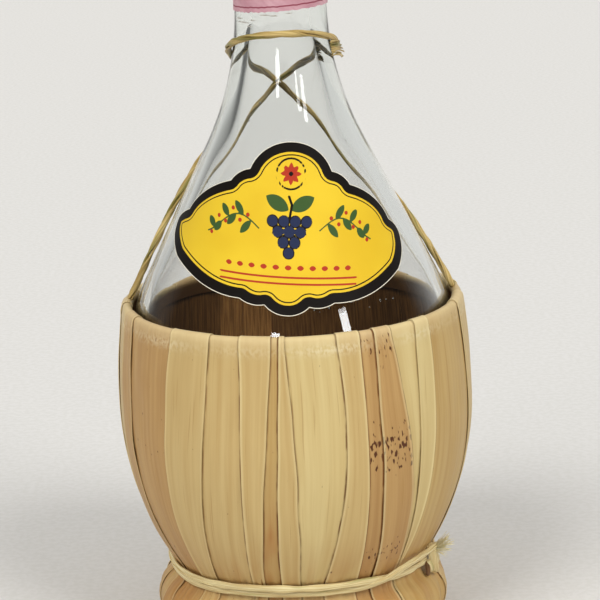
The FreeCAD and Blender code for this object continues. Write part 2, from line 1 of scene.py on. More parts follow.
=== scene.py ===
"""Looks of a straw-covered wine flask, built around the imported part.

Lengths are in metres and angles in degrees. The frame is the part's own: +Z is up, the label
faces -Y, and an azimuth is counted from the front (-Y) towards +X.
"""

import logging
import math
from collections.abc import Callable, Sequence
from dataclasses import dataclass, field, replace
from enum import Enum
from functools import cached_property

import bpy
import numpy as np
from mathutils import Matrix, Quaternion, Vector


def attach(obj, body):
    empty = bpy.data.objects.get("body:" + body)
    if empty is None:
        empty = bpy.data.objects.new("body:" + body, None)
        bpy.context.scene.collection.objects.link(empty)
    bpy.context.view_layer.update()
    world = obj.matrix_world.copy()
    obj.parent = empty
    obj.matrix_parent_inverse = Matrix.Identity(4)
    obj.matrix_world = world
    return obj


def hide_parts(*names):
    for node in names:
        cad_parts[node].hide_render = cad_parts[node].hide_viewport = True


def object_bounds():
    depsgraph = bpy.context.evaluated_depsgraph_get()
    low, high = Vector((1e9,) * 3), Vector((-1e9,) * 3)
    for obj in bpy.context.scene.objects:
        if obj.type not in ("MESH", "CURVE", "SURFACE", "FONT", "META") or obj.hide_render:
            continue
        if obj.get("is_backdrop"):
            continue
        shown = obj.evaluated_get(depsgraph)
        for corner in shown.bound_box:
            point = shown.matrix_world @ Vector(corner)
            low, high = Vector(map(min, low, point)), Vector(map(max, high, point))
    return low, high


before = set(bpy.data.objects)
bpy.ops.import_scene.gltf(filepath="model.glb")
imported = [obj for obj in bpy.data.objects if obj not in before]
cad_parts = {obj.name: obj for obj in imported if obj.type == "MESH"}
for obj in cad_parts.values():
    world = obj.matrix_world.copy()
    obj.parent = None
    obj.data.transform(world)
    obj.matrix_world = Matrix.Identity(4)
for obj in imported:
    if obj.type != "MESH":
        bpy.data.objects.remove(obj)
CAD_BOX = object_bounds()

log = logging.getLogger("straw_flask")

MM = 0.001
FULL_TURN = 360.0
HALF_TURN = 180.0
BOTTLE_BODY = "bottle"
CORK_BODY = "cork"
UV_NAME = "fibre"
SMOOTH = {"interpolation_type": "SMOOTHSTEP"}
TINY = 1e-12

Array = np.ndarray
Sizes = tuple[float, ...]
Rows = tuple[Sizes, ...]
Place = Callable[[Array, Array], Array]
Piece = bpy.types.Object
Finish = bpy.types.Material
Socket = bpy.types.NodeSocket
Value = Socket | float | str | tuple
Inputs = Sequence[Value] | dict[str | int, Value]
Coat = tuple[Socket | float | str, ...]


# Shapes in numbers


def unit(angle: float | Array) -> Array:
    """The direction of an angle in the half section, as (radius, height)."""
    turn = np.radians(angle)
    return np.stack([np.cos(turn), np.sin(turn)], axis=-1)


def bearing(start: Array, end: Array) -> float:
    """The angle of the direction from one point of the half section to another."""
    return math.degrees(math.atan2(end[1] - start[1], end[0] - start[0]))


def around(azimuth: Array, radius: Array, height: Array) -> Array:
    """Points at azimuths, radii and heights about the part's axis."""
    turn = np.radians(azimuth)
    return np.stack([radius * np.sin(turn), -radius * np.cos(turn), height + 0 * turn], axis=-1)


def eased(share: Array) -> Array:
    """A smooth step from 0 to 1."""
    share = np.clip(share, 0, 1)
    return share * share * (3 - 2 * share)


def near(value: Array, middle: float, reach: float) -> Array:
    """A soft bump of height 1 about a middle value."""
    return np.exp(-(((value - middle) / reach) ** 2))


class Uneven:
    """Smooth unevenness: a seeded sum of waves over one or more lengths."""

    WAVES = 7
    SLOWEST = 0.35

    def __init__(self, seed: int, *lengths: float) -> None:
        """Draw the waves.

        Args:
            seed: Number that fixes the waves.
            lengths: Typical wave length along each coordinate.
        """
        draw = np.random.default_rng(seed)
        spread = draw.uniform(-1, 1, (self.WAVES, len(lengths)))
        self.rates = (self.SLOWEST + np.abs(spread)) * np.sign(spread) * 2 * math.pi / np.array(lengths)
        self.phases = draw.uniform(0, 2 * math.pi, self.WAVES)

    def __call__(self, *coordinates: Array) -> Array:
        """The unevenness, about -1 to 1, at each point."""
        total = np.zeros(np.broadcast(*coordinates).shape)
        for rates, phase in zip(self.rates, self.phases):
            total += np.sin(sum(rate * value for rate, value in zip(rates, coordinates)) + phase)
        return total / (self.WAVES / 2)


@dataclass(frozen=True)
class Bend:
    """An arc of a half section, from a start angle to an end angle about its centre."""

    centre: Array
    radius: float
    start: float
    end: float

    @property
    def length(self) -> float:
        """Length of the arc."""
        return self.radius * abs(math.radians(self.end - self.start))

    def at(self, shares: Array) -> tuple[Array, Array]:
        """Points and right-hand normals at shares of the arc."""
        way = unit(self.start + (self.end - self.start) * shares)
        return self.centre + self.radius * way, way if self.end > self.start else -way


@dataclass(frozen=True)
class Straight:
    """A straight run of a half section."""

    start: Array
    end: Array

    @property
    def length(self) -> float:
        """Length of the run."""
        return float(np.linalg.norm(self.end - self.start))

    def at(self, shares: Array) -> tuple[Array, Array]:
        """Points and right-hand normals at shares of the run."""
        run = self.end - self.start
        normal = np.array([run[1], -run[0]]) / self.length
        return self.start + run * shares[:, None], np.tile(normal, (len(shares), 1))


@dataclass(frozen=True)
class Trace:
    """Points along a half section, their normals and how far along it they are."""

    points: Array
    normals: Array
    along: Array


def trace(runs: Sequence[Bend | Straight], steps: Sequence[float]) -> Trace:
    """Walk along the runs of a half section.

    Args:
        runs: Arcs and straights that follow each other.
        steps: Longest step on each run.

    Returns:
        The points from the first run's start to the last run's end.
    """
    points, normals, along, walked = [], [], [], 0.0
    for number, (run, step) in enumerate(zip(runs, steps)):
        count = max(2, math.ceil(run.length / step))
        shares = np.linspace(0, 1, count + 1)[1 if number else 0 :]
        here, facing = run.at(shares)
        points.append(here)
        normals.append(facing)
        along.append(walked + run.length * shares)
        walked += run.length
    return Trace(np.concatenate(points), np.concatenate(normals), np.concatenate(along))


# Modelling by hand


def clear_selection() -> None:
    """Leave edit mode and deselect every object."""
    if bpy.context.mode != "OBJECT":
        bpy.ops.object.mode_set(mode="OBJECT")
    bpy.ops.object.select_all(action="DESELECT")


def pick(piece: Piece) -> None:
    """Make one piece the only selected and the active object."""
    clear_selection()
    piece.select_set(True)
    bpy.context.view_layer.objects.active = piece


def named(name: str) -> Piece:
    """Name the object that was just added, and its mesh."""
    piece = bpy.context.object
    piece.name = piece.data.name = name
    return piece


def vertex_places(piece: Piece) -> Array:
    """The vertices of a piece as rows of X, Y and Z."""
    flat = np.empty(len(piece.data.vertices) * 3)
    piece.data.vertices.foreach_get("co", flat)
    return flat.reshape(-1, 3)


def move_vertices(piece: Piece, places: Array) -> None:
    """Put the vertices of a piece at new places."""
    piece.data.vertices.foreach_set("co", places.astype(np.float32).ravel())
    piece.data.update()


def close_up(piece: Piece, reach: float = 0.002 * MM, recalculate: bool = True) -> None:
    """Merge the vertices that lie together and turn the faces outwards.

    Args:
        piece: The mesh to close.
        reach: Distance within which vertices are merged.
        recalculate: Whether the faces are turned outwards, as a closed shell needs.
    """
    pick(piece)
    bpy.ops.object.mode_set(mode="EDIT")
    bpy.ops.mesh.select_all(action="SELECT")
    bpy.ops.mesh.remove_doubles(threshold=reach)
    if recalculate:
        bpy.ops.mesh.normals_make_consistent(inside=False)
    bpy.ops.object.mode_set(mode="OBJECT")


def lathe(name: str, outline: Array, steps: int) -> Piece:
    """Draw a half section point by point and spin it round the axis.

    Args:
        name: Name of the piece.
        outline: Points as (radius, height) from axis to axis.
        steps: Steps of the spin.

    Returns:
        The closed piece.
    """
    clear_selection()
    bpy.ops.mesh.primitive_plane_add(size=MM)
    piece = named(name)
    bpy.ops.object.mode_set(mode="EDIT")
    bpy.ops.mesh.merge(type="CENTER")
    bpy.ops.transform.translate(value=(outline[0][0], 0, outline[0][1]))
    for before, after in zip(outline, outline[1:]):
        move = (after[0] - before[0], 0, after[1] - before[1])
        bpy.ops.mesh.extrude_vertices_move(TRANSFORM_OT_translate={"value": move})
    bpy.ops.mesh.select_all(action="SELECT")
    bpy.ops.mesh.spin(steps=steps, angle=math.tau, center=(0, 0, 0), axis=(0, 0, 1))
    close_up(piece)
    return piece


def row_at(along: Array, rows: int) -> Array:
    """Numbers of the rows at shares along a sheet."""
    return np.rint(along * rows).astype(int)


@dataclass(frozen=True)
class Lengths:
    """Real lengths across a sheet and along its rows, for its UV map.

    The skip sets the sheet's grain apart from that of other sheets.
    """

    girth: float
    along: Array
    skip: float = 0.0

    def __call__(self, across: Array, along: Array) -> Array:
        """The lengths at shares across and along."""
        row = row_at(along, len(self.along) - 1)
        return np.stack([across * self.girth + self.skip, self.along[row]], axis=1)


def laid_sheet(name: str, columns: int, rows: int, place: Place, uv: Place) -> Piece:
    """Add a flat grid and lay it on a surface.

    Args:
        name: Name of the piece.
        columns: Faces across.
        rows: Faces along.
        place: Gives the points for shares across and along.
        uv: Gives the lengths across and along, in metres, for the same shares.

    Returns:
        The laid piece, whose UV map holds the lengths.
    """
    clear_selection()
    bpy.ops.mesh.primitive_grid_add(x_subdivisions=columns, y_subdivisions=rows, size=1)
    piece = named(name)
    shares = vertex_places(piece)[:, :2] + 0.5
    shares[:, 0] = np.rint(shares[:, 0] * columns) / columns
    shares[:, 1] = np.rint(shares[:, 1] * rows) / rows
    move_vertices(piece, place(shares[:, 0], shares[:, 1]))
    lengths = uv(shares[:, 0], shares[:, 1])
    corners = np.empty(len(piece.data.loops), dtype=np.int32)
    piece.data.loops.foreach_get("vertex_index", corners)
    layer = piece.data.uv_layers[0]
    layer.name = UV_NAME
    layer.data.foreach_set("uv", lengths[corners].astype(np.float32).ravel())
    return piece


def note(piece: Piece, name: str, values: Array) -> None:
    """Write a number at each vertex of a piece, for its finish to read."""
    layer = piece.data.attributes.new(name, "FLOAT", "POINT")
    layer.data.foreach_set("value", values.astype(np.float32))


def thicken(piece: Piece, thickness: float, inner_slot: int = 0) -> None:
    """Give a sheet its thickness, half to each side.

    Args:
        piece: The sheet, already dressed where its inner face has a finish of its own.
        thickness: Whole thickness.
        inner_slot: Material slot of the inner face.
    """
    pick(piece)
    bpy.ops.object.modifier_add(type="SOLIDIFY")
    solidify = piece.modifiers[-1]
    solidify.thickness = thickness
    solidify.offset = 0
    solidify.material_offset = inner_slot
    bpy.ops.object.modifier_apply(modifier=solidify.name)


def joined(name: str, pieces: Sequence[Piece]) -> Piece:
    """Join pieces into one object.

    Args:
        name: Name of the whole.
        pieces: The pieces to join.

    Returns:
        The whole.
    """
    pick(pieces[0])
    for piece in pieces:
        piece.select_set(True)
    bpy.ops.object.join()
    return named(name)


def dress(piece: Piece, *materials: Finish) -> None:
    """Give a piece its materials.

    Args:
        piece: The piece to dress.
        materials: Its materials, in the order of its slots.
    """
    piece.data.materials.clear()
    for material in materials:
        piece.data.materials.append(material)


def seat(
    piece: Piece, slot: str, node: str, *finish: Finish, body: str = BOTTLE_BODY, angle: float = 60.0
) -> None:
    """Shade and dress a finished piece and tie it to the part.

    Args:
        piece: The finished piece.
        slot: Material slot of the record; not used.
        node: Node that it stands for.
        finish: Its finish, where it isn't dressed yet.
        body: Body that it moves with.
        angle: Edges sharper than this are shaded sharp.
    """
    pick(piece)
    bpy.ops.object.shade_smooth_by_angle(angle=math.radians(angle))
    if finish:
        dress(piece, *finish)
    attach(piece, body)
    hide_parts(node)
    log.info("%s: %d faces", piece.name, len(piece.data.polygons))


# Cord routes


def spline_points(route: Array, step: float) -> Array:
    """Read evenly spaced points from the smooth spline of a route.

    Args:
        route: Control points of the spline.
        step: Distance between the points.

    Returns:
        Points along the spline.
    """
    curve = bpy.data.curves.new("route", "CURVE")
    curve.dimensions = "3D"
    spline = curve.splines.new("NURBS")
    spline.points.add(len(route) - 1)
    for point, place in zip(spline.points, route):
        point.co = (*place, 1)
    spline.order_u = 3
    spline.use_endpoint_u = True
    spline.resolution_u = 16
    holder = bpy.data.objects.new("route", curve)
    bpy.context.scene.collection.objects.link(holder)
    mesh = bpy.data.meshes.new_from_object(holder)
    points = np.array([vertex.co for vertex in mesh.vertices])
    bpy.data.objects.remove(holder)
    bpy.data.curves.remove(curve)
    bpy.data.meshes.remove(mesh)
    run = np.concatenate([[0], np.cumsum(np.linalg.norm(np.diff(points, axis=0), axis=1))])
    stops = np.linspace(0, run[-1], max(3, math.ceil(run[-1] / step)) + 1)
    return np.stack([np.interp(stops, run, points[:, axis]) for axis in range(3)], axis=1)


@dataclass(frozen=True)
class Lay:
    """The line that strands follow: points, two cross directions and the length so far."""

    points: Array
    out: Array
    side: Array
    along: Array

    @classmethod
    def through(cls, route: Array, step: float, facing: Sequence[float]) -> "Lay":
        """Follow the spline of a route and carry a cross direction along it without twist.

        Args:
            route: Control points of the spline.
            step: Distance between the points of the line.
            facing: Rough cross direction at the first point.

        Returns:
            The line with its cross directions.
        """
        points = spline_points(route, step)
        ways = np.gradient(points, axis=0)
        ways /= np.linalg.norm(ways, axis=1, keepdims=True)
        out = np.empty_like(points)
        carried = np.array(facing, dtype=float)
        for number, way in enumerate(ways):
            carried = carried - way * carried.dot(way)
            carried /= np.linalg.norm(carried)
            out[number] = carried
        run = np.linalg.norm(np.diff(points, axis=0), axis=1)
        return cls(points, out, np.cross(ways, out), np.concatenate([[0], np.cumsum(run)]))

    def turned(self, row: Array, turn: Array) -> tuple[Array, Array]:
        """The cross directions at rows of the line, turned about it by angles in radians."""
        out, side = self.out[row], self.side[row]
        ahead, aside = np.cos(turn)[:, None], np.sin(turn)[:, None]
        return out * ahead + side * aside, side * ahead - out * aside


@dataclass(frozen=True)
class Strand:
    """A flat, ridged strand of raffia, which winds about a line at its reach from it.

    Its seed fixes its unevenness, and its ends close over its taper.
    """

    SWELL = 0.13
    SWELL_LENGTH = 14 * MM
    STRAY = 12.0
    STRAY_LENGTH = 11 * MM

    width: float
    depth: float
    reach: float = 0.0
    twist_length: float = 20 * MM
    phase: float = 0.0
    ridges: int = 7
    ridge_share: float = 0.07
    seed: int = 1
    sides: int = 14
    taper: float = 0.6 * MM

    def build(self, name: str, lay: Lay) -> Piece:
        """Model the strand along a line.

        Args:
            name: Name of the strand.
            lay: The line that it winds about.

        Returns:
            The closed strand.
        """
        rows = len(lay.points) - 1
        swell = Uneven(self.seed, self.SWELL_LENGTH)
        stray = Uneven(self.seed + 1, self.STRAY_LENGTH)
        total = lay.along[-1]

        def place(across: Array, along: Array) -> Array:
            """Points round the strand and along its line."""
            row = row_at(along, rows)
            run = lay.along[row]
            turn = np.radians(self.phase + self.STRAY * stray(run)) + math.tau * run / self.twist_length
            outward, sideways = lay.turned(row, turn)
            angle = math.tau * across
            ridge = 1 + self.ridge_share * np.sin(self.ridges * angle + self.phase)
            ends = np.clip(np.minimum(run, total - run) / self.taper, 0, 1)
            size = ridge * (1 + self.SWELL * swell(run)) * np.sqrt(ends * (2 - ends))
            flat = self.width / 2 * np.sin(angle) * size
            deep = self.depth / 2 * np.cos(angle) * size + self.reach
            return lay.points[row] + outward * deep[:, None] + sideways * flat[:, None]

        girth = math.pi * (self.width + self.depth) / 2
        piece = laid_sheet(name, self.sides, rows, place, Lengths(girth, lay.along, self.seed * 7 * MM))
        close_up(piece)
        return piece


# Finishes


def linear(code: str) -> tuple[float, float, float, float]:
    """Turn an sRGB hex colour into linear red, green, blue and alpha."""
    parts = [int(code[place : place + 2], 16) / 255 for place in (1, 3, 5)]
    lit = [part / 12.92 if part <= 0.04045 else ((part + 0.055) / 1.055) ** 2.4 for part in parts]
    return (*lit, 1.0)


class Wiring:
    """A node tree that is wired node by node."""

    def __init__(self, owner: Finish | bpy.types.World) -> None:
        """Start an empty tree in a material or world."""
        owner.use_nodes = True
        self.tree = owner.node_tree
        self.tree.nodes.clear()

    def add(self, kind: str, inputs: Inputs = (), **settings: str) -> bpy.types.Node:
        """Add a node with its settings and links.

        Args:
            kind: Type of the node, without the words that every shader node's type starts with.
            inputs: Values, hex colours or sockets for its inputs, in order or by name.
            settings: Properties of the node.

        Returns:
            The node.
        """
        node = self.tree.nodes.new(f"ShaderNode{kind}")
        for name, value in settings.items():
            setattr(node, name, value)
        given = inputs if isinstance(inputs, dict) else dict(enumerate(inputs))
        for name, value in given.items():
            if isinstance(value, Socket):
                self.tree.links.new(value, node.inputs[name])
            else:
                node.inputs[name].default_value = linear(value) if isinstance(value, str) else value
        return node

    def wire(self, kind: str, inputs: Inputs = (), out: int | str = 0, **settings: str) -> Socket:
        """Add a node and give one of its outputs."""
        return self.add(kind, inputs, **settings).outputs[out]


class Palette(Wiring):
    """A material under construction: its tree, its shader and its output."""

    def __init__(self, name: str, roughness: float, **sockets: float | tuple) -> None:
        """Start a material.

        Args:
            name: Name of the material.
            roughness: Roughness of the shader.
            sockets: Other constant sockets, with underscores for spaces.
        """
        self.material = bpy.data.materials.new(name)
        super().__init__(self.material)
        inputs = {key.replace("_", " "): value for key, value in sockets.items()}
        self.shader = self.add("BsdfPrincipled", {"Roughness": roughness, **inputs})
        self.output = self.add("OutputMaterial", {"Surface": self.shader.outputs["BSDF"]})

    def grain(self, vector: Socket, sizes: Sequence[float], detail: float = 2.0) -> Socket:
        """Noise whose grain has a real size along each coordinate, about 0.3 to 0.7.

        Args:
            vector: Coordinates in metres.
            sizes: Size of the grain along each coordinate.
            detail: Levels of finer grain.

        Returns:
            The noise.
        """
        spread = self.wire("Mapping", {"Vector": vector, "Scale": tuple(1 / size for size in sizes)})
        return self.wire("TexNoise", {"Vector": spread, "Scale": 1.0, "Detail": detail})

    def painted(self, base: str | Socket, *coats: Coat) -> Socket:
        """Lay coats of colour over a base.

        Args:
            base: The first colour.
            coats: For each coat its share, how strongly the share counts and its colour, and where
                the share is a grain or a distance, the values of it where the coat begins and is full.

        Returns:
            The colour on top.
        """
        for share, strength, colour, *limits in coats:
            if limits:
                share = self.wire("MapRange", (share, *limits), **SMOOTH)
            part = self.wire("Math", (share, strength), operation="MULTIPLY")
            base = self.wire("Mix", {0: part, 6: base, 7: colour}, 2, data_type="RGBA")
        return base

    def used(self, **sockets: Socket) -> Finish:
        """Link sockets into the shader and give the finished material."""
        for name, socket in sockets.items():
            self.tree.links.new(socket, self.shader.inputs[name.replace("_", " ")])
        return self.material


class Follow(Enum):
    """What a grain follows: the piece's own UV map in metres, or Object coordinates."""

    FIBRES = ("UVMap", "UV", {"uv_map": UV_NAME})
    PLACES = ("TexCoord", "Object", {})

    def on(self, palette: Palette) -> Socket:
        """Add the coordinates to a material."""
        kind, out, settings = self.value
        return palette.wire(kind, out=out, **settings)


@dataclass(frozen=True)
class TwoTone:
    """A finish of two close colours in a grain of a real size.

    The sizes of the grain and the depth of its relief are in mm, the limits say where in the grain
    the colour goes from deep to light, and two roughnesses are the least and the most in the grain.
    """

    name: str
    light: str
    deep: str
    roughness: Sizes
    sizes: Sizes
    limits: Sizes
    detail: float = 3.0
    depth: float = 0.0
    specular: float = 0.5
    follow: Follow = Follow.PLACES

    def make(self) -> Finish:
        """Make the material."""
        palette = Palette(self.name, self.roughness[0], Specular_IOR_Level=self.specular)
        vector = self.follow.on(palette)
        grain = palette.grain(vector, [size * MM for size in self.sizes], self.detail)
        coats = [(grain, 1.0, self.light, *self.limits), *self.coats(palette, vector)]
        sockets = {"Base_Color": palette.painted(self.deep, *coats)}
        if len(self.roughness) > 1:
            sockets["Roughness"] = palette.wire("MapRange", (grain, 0.0, 1.0, *self.roughness))
        if self.depth:
            sockets["Normal"] = palette.wire("Bump", {"Height": grain, "Distance": self.depth * MM})
        return palette.used(**sockets)

    def coats(self, palette: Palette, vector: Socket) -> list[Coat]:
        """What lies over the two colours: nothing, unless a finish says so."""
        return []


# Inner face of a husk leaf: matt, brown and fibrous, darkened as painted shade, with a lighter copy as
# painted light for the leaves at the back.
SHADED_INNER_HUSK = TwoTone(
    "inner_husk", "#80592F", "#5A3B1E", (0.75,), (0.6, 14, 1000), (0.36, 0.66), 2.0, 0.06,
    follow=Follow.FIBRES,
)
LIT_INNER_HUSK = replace(SHADED_INNER_HUSK, name="fair_inner_husk", light="#B07C44", deep="#80582E")
# Dry grass stalks: shiny and golden, with darker lengthwise lines.
STRAW_STALK = TwoTone(
    "dry_straw_stalk", "#D8BC78", "#A27C40", (0.32, 0.55), (0.6, 40, 1000), (0.38, 0.64), depth=0.05,
    follow=Follow.FIBRES,
)
# Split cane of the hidden hoop: satin, with fine fibres along the bend.
CANE_HOOP = TwoTone(
    "split_cane", "#BE9C60", "#86642F", (0.55,), (4.8, 4.8, 0.8), (0.35, 0.65), depth=0.08
)
# Fibres of torn paper that stay in the glue: grey-white, thin and uneven.
PAPER_RESIDUE = TwoTone(
    "paper_residue", "#CFCCC4", "#A39C92", (0.8,), (2, 2, 0.5), (0.36, 0.64), depth=0.05
)
# Pale matt studio paint: nearly even, with a faint tooth.
STUDIO_PAINT = TwoTone(
    "pale_studio_paint", "#DEDCD8", "#D9D7D2", (0.95,), (2.5, 2.5, 2.5), (0.35, 0.65), 2.0, specular=0.0
)


@dataclass(frozen=True)
class FlintGlass:
    """Clear blown bottle glass: smooth, with a faint grey-green tint where it is thick."""

    tint: str = "#C9DCCF"
    density: float = 18.0
    index: float = 1.52

    def make(self) -> Finish:
        """Make the material."""
        palette = Palette(
            "blown_flint_glass", 0.0, Transmission_Weight=1.0, IOR=self.index, Base_Color=(1, 1, 1, 1)
        )
        volume = palette.wire("VolumeAbsorption", {"Color": self.tint, "Density": self.density})
        palette.tree.links.new(volume, palette.output.inputs["Volume"])
        return palette.material


class HuskTone(Enum):
    """The colours that dried husk leaves have side by side in one basket."""

    PALE = ("#D3BE86", "#C5AB71")
    STRAW = ("#CBB179", "#BC9D64")
    HONEY = ("#C2A56B", "#B18E52")
    TAN = ("#BE9961", "#AA824E")
    RUSSET = ("#BC975E", "#A67C48")


class HuskGrain(Enum):
    """Grains of a husk leaf: width and length in mm, and levels of detail."""

    FIBRE = (0.5, 30, 3)
    VEIN = (2.4, 90, 2)
    MOTTLE = (7, 28, 2)
    STREAK = (0.7, 40, 1)
    WRINKLE = (0.9, 1.6, 2)
    FLECK = (1.25, 2.7, 1)
    BREAK = (40, 9, 2)


class Mark(Enum):
    """Numbers at a strip's vertices that its finish reads."""

    SEAM = "seam"
    # Line: seam brown with painted shadow. Pale: painted edge highlight. Fold: painted highlight. Scuff:
    # wear and painted highlight. Leg: painted shade.
    LINE = "line"
    PALE = "pale"
    FOLD = "fold"
    SCUFF = "scuff"
    LEG = "leg"
    STAIN = "stain"
    FLECKS = "flecks"


@dataclass(frozen=True)
class DriedHusk:
    """Dried husk leaf: smooth satin, with lengthwise fibres, brown flecks, scuffs with a painted
    highlight below the fold, painted highlights on the fold and edges, a seam line with painted shadow
    and painted shade on the leg.
    """

    tone: HuskTone
    fibre_share: float = 0.22
    fibre_depth: float = 0.03 * MM
    # Brown of the seam line, which also stands for the painted shadow under an over strip's edge.
    seam_and_shadow_colour: str = "#6E421A"
    # Painted highlight along the raised edges of the over strips.
    edge_highlight_colour: str = "#EBDCA8"
    # Painted highlight on the top of the fold over the hoop.
    fold_highlight_colour: str = "#E2CD9E"
    # Pale scuffs in the wrinkles below the fold, partly wear and partly painted highlight on the bulge.
    scuff_and_highlight_colour: str = "#E4D7B2"
    stain_colour: str = "#A9743C"
    # Painted shade on the leg that is folded inside the rim.
    inside_shade_colour: str = "#6B4A2A"
    streak_colour: str = "#A47C42"
    fleck_colour: str = "#552C12"

    def make(self) -> Finish:
        """Make the material."""
        light, deep = self.tone.value
        palette = Palette(f"dried_husk_{self.tone.name.lower()}", 0.45, Specular_IOR_Level=0.3)
        wire = palette.wire
        lengths = Follow.FIBRES.on(palette)
        fibre, vein, mottle, streak, wrinkle, fleck, gaps = (
            palette.grain(lengths, (grain.value[0] * MM, grain.value[1] * MM, 1), grain.value[2])
            for grain in HuskGrain
        )
        mark = {mark: wire("Attribute", out="Fac", attribute_name=mark.value) for mark in Mark}
        veined = wire("Math", (vein, 1 - self.fibre_share), operation="MULTIPLY")
        shade = wire("Math", (fibre, self.fibre_share, veined), operation="MULTIPLY_ADD")
        cloud = wire("MapRange", (mottle, 0.36, 0.62), **SMOOTH)
        cloud = wire("Math", (cloud, 0.75, 0.25), operation="MULTIPLY_ADD")
        wrinkled = wire("MapRange", (wrinkle, 0.36, 0.6), **SMOOTH)
        flecked = wire("Math", (mark[Mark.FLECKS], 0.26, fleck), operation="MULTIPLY_ADD")
        # Painted highlight near an over strip's raised edge.
        edge = wire("MapRange", (mark[Mark.SEAM], 1.0 * MM, 0.3 * MM), **SMOOTH)
        # Seam line with painted shadow, broken up along the seam and kept next to it.
        broken = wire("MapRange", (gaps, 0.32, 0.6), **SMOOTH)
        broken = wire("Math", (broken, 0.75, 0.2), operation="MULTIPLY_ADD")
        beside = wire("MapRange", (mark[Mark.SEAM], 0.8 * MM, 0.3 * MM), **SMOOTH)
        broken = wire("Math", (broken, beside), operation="MULTIPLY")
        masks = {Mark.STAIN: cloud, Mark.SCUFF: wrinkled, Mark.PALE: edge, Mark.LINE: broken}
        stain, scuff, pale, line = (
            wire("Math", (mark[kind], mask), operation="MULTIPLY") for kind, mask in masks.items()
        )
        leaf = palette.painted(
            deep,
            (shade, 1.0, light, 0.24, 0.74),
            (mottle, 0.35, deep, 0.5, 0.75),
            (streak, 0.4, self.streak_colour, 0.66, 0.74),
            (stain, 1.0, self.stain_colour),
            # Painted highlight on the fold.
            (mark[Mark.FOLD], 0.5, self.fold_highlight_colour),
            # Scuffs, partly wear and partly painted highlight.
            (scuff, 0.55, self.scuff_and_highlight_colour),
            (flecked, 1.0, self.fleck_colour, 0.76, 0.86),
            # Painted highlight along the over strips' edges.
            (pale, 0.38, self.edge_highlight_colour),
            # The seam line, partly brown seam and partly painted shadow.
            (line, 1.0, self.seam_and_shadow_colour),
            # Painted shade over the leg inside the rim.
            (mark[Mark.LEG], 1.0, self.inside_shade_colour),
        )
        rough = wire("MapRange", (fibre, 0.0, 1.0, 0.38, 0.55))
        relief = wire("Math", (scuff, 2.0, shade), operation="MULTIPLY_ADD")
        bump = wire("Bump", {"Height": relief, "Distance": self.fibre_depth})
        return palette.used(Base_Color=leaf, Roughness=rough, Normal=bump)


@dataclass(frozen=True)
class Raffia(TwoTone):
    """Dried raffia: glossy flat fibre, straw coloured with olive stretches."""

    roughness: Sizes = (0.3, 0.55)
    sizes: Sizes = (0.35, 18, 1000)
    limits: Sizes = (0.38, 0.62)
    depth: float = 0.06
    specular: float = 0.45
    follow: Follow = Follow.FIBRES
    olive: str = "#77742F"
    olive_limits: Sizes = (0.5, 0.62)
    olive_share: float = 0.75
    olive_sizes: Sizes = (3.15, 34, 1000)

    def coats(self, palette: Palette, vector: Socket) -> list[Coat]:
        """The olive stretches."""
        patch = palette.grain(vector, [size * MM for size in self.olive_sizes])
        return [(patch, self.olive_share, self.olive, *self.olive_limits)]


OLIVE_RAFFIA = Raffia("olive_raffia", "#D2B878", "#A68A4E")
PALE_RAFFIA = Raffia("pale_raffia", "#DFD09D", "#C6AD76", olive="#948D4A", olive_limits=(0.62, 0.74))
BROWNED_RAFFIA = Raffia(
    "browned_raffia", "#8A6232", "#4A2E14", olive="#5A3A18", olive_limits=(0.45, 0.57)
)
FRAYED_RAFFIA = Raffia("frayed_raffia", "#ECE5C4", "#D8CDA0", olive="#C9C489", olive_limits=(0.55, 0.67))


@dataclass(frozen=True)
class NaturalCork:
    """Punched natural cork: tan, matt and speckled with dark pores along the bark."""

    light: str = "#CDA877"
    deep: str = "#A97F4E"
    pore_colour: str = "#5B3A1E"
    pore_length: float = 3.84 * MM
    pore_width: float = 1.68 * MM
    grain_size: float = 0.9 * MM
    pore_depth: float = 0.3 * MM

    def make(self) -> Finish:
        """Make the material."""
        palette = Palette("natural_cork", 0.85)
        wire = palette.wire
        places = Follow.PLACES.on(palette)
        grain = palette.grain(places, (self.grain_size,) * 3, 3)
        pores = palette.grain(places, (self.pore_length, self.pore_width, self.pore_width), 3)
        holes = wire("MapRange", (pores, 0.6, 0.68), **SMOOTH)
        cork = palette.painted(
            self.deep,
            (grain, 1.0, self.light, 0.35, 0.65),
            (holes, 1.0, self.pore_colour),
        )
        raised = wire("Math", (grain, 0.3), operation="MULTIPLY")
        relief = wire("Math", (raised, holes), operation="SUBTRACT")
        bump = wire("Bump", {"Height": relief, "Distance": self.pore_depth})
        return palette.used(Base_Color=cork, Normal=bump)


class Ink(Enum):
    """The label's printing inks, in the order in which they are laid on."""

    GREEN = "#3E5A2C"
    BLUE = "#27304F"
    RED = "#B3361F"
    BLACK = "#1C1611"


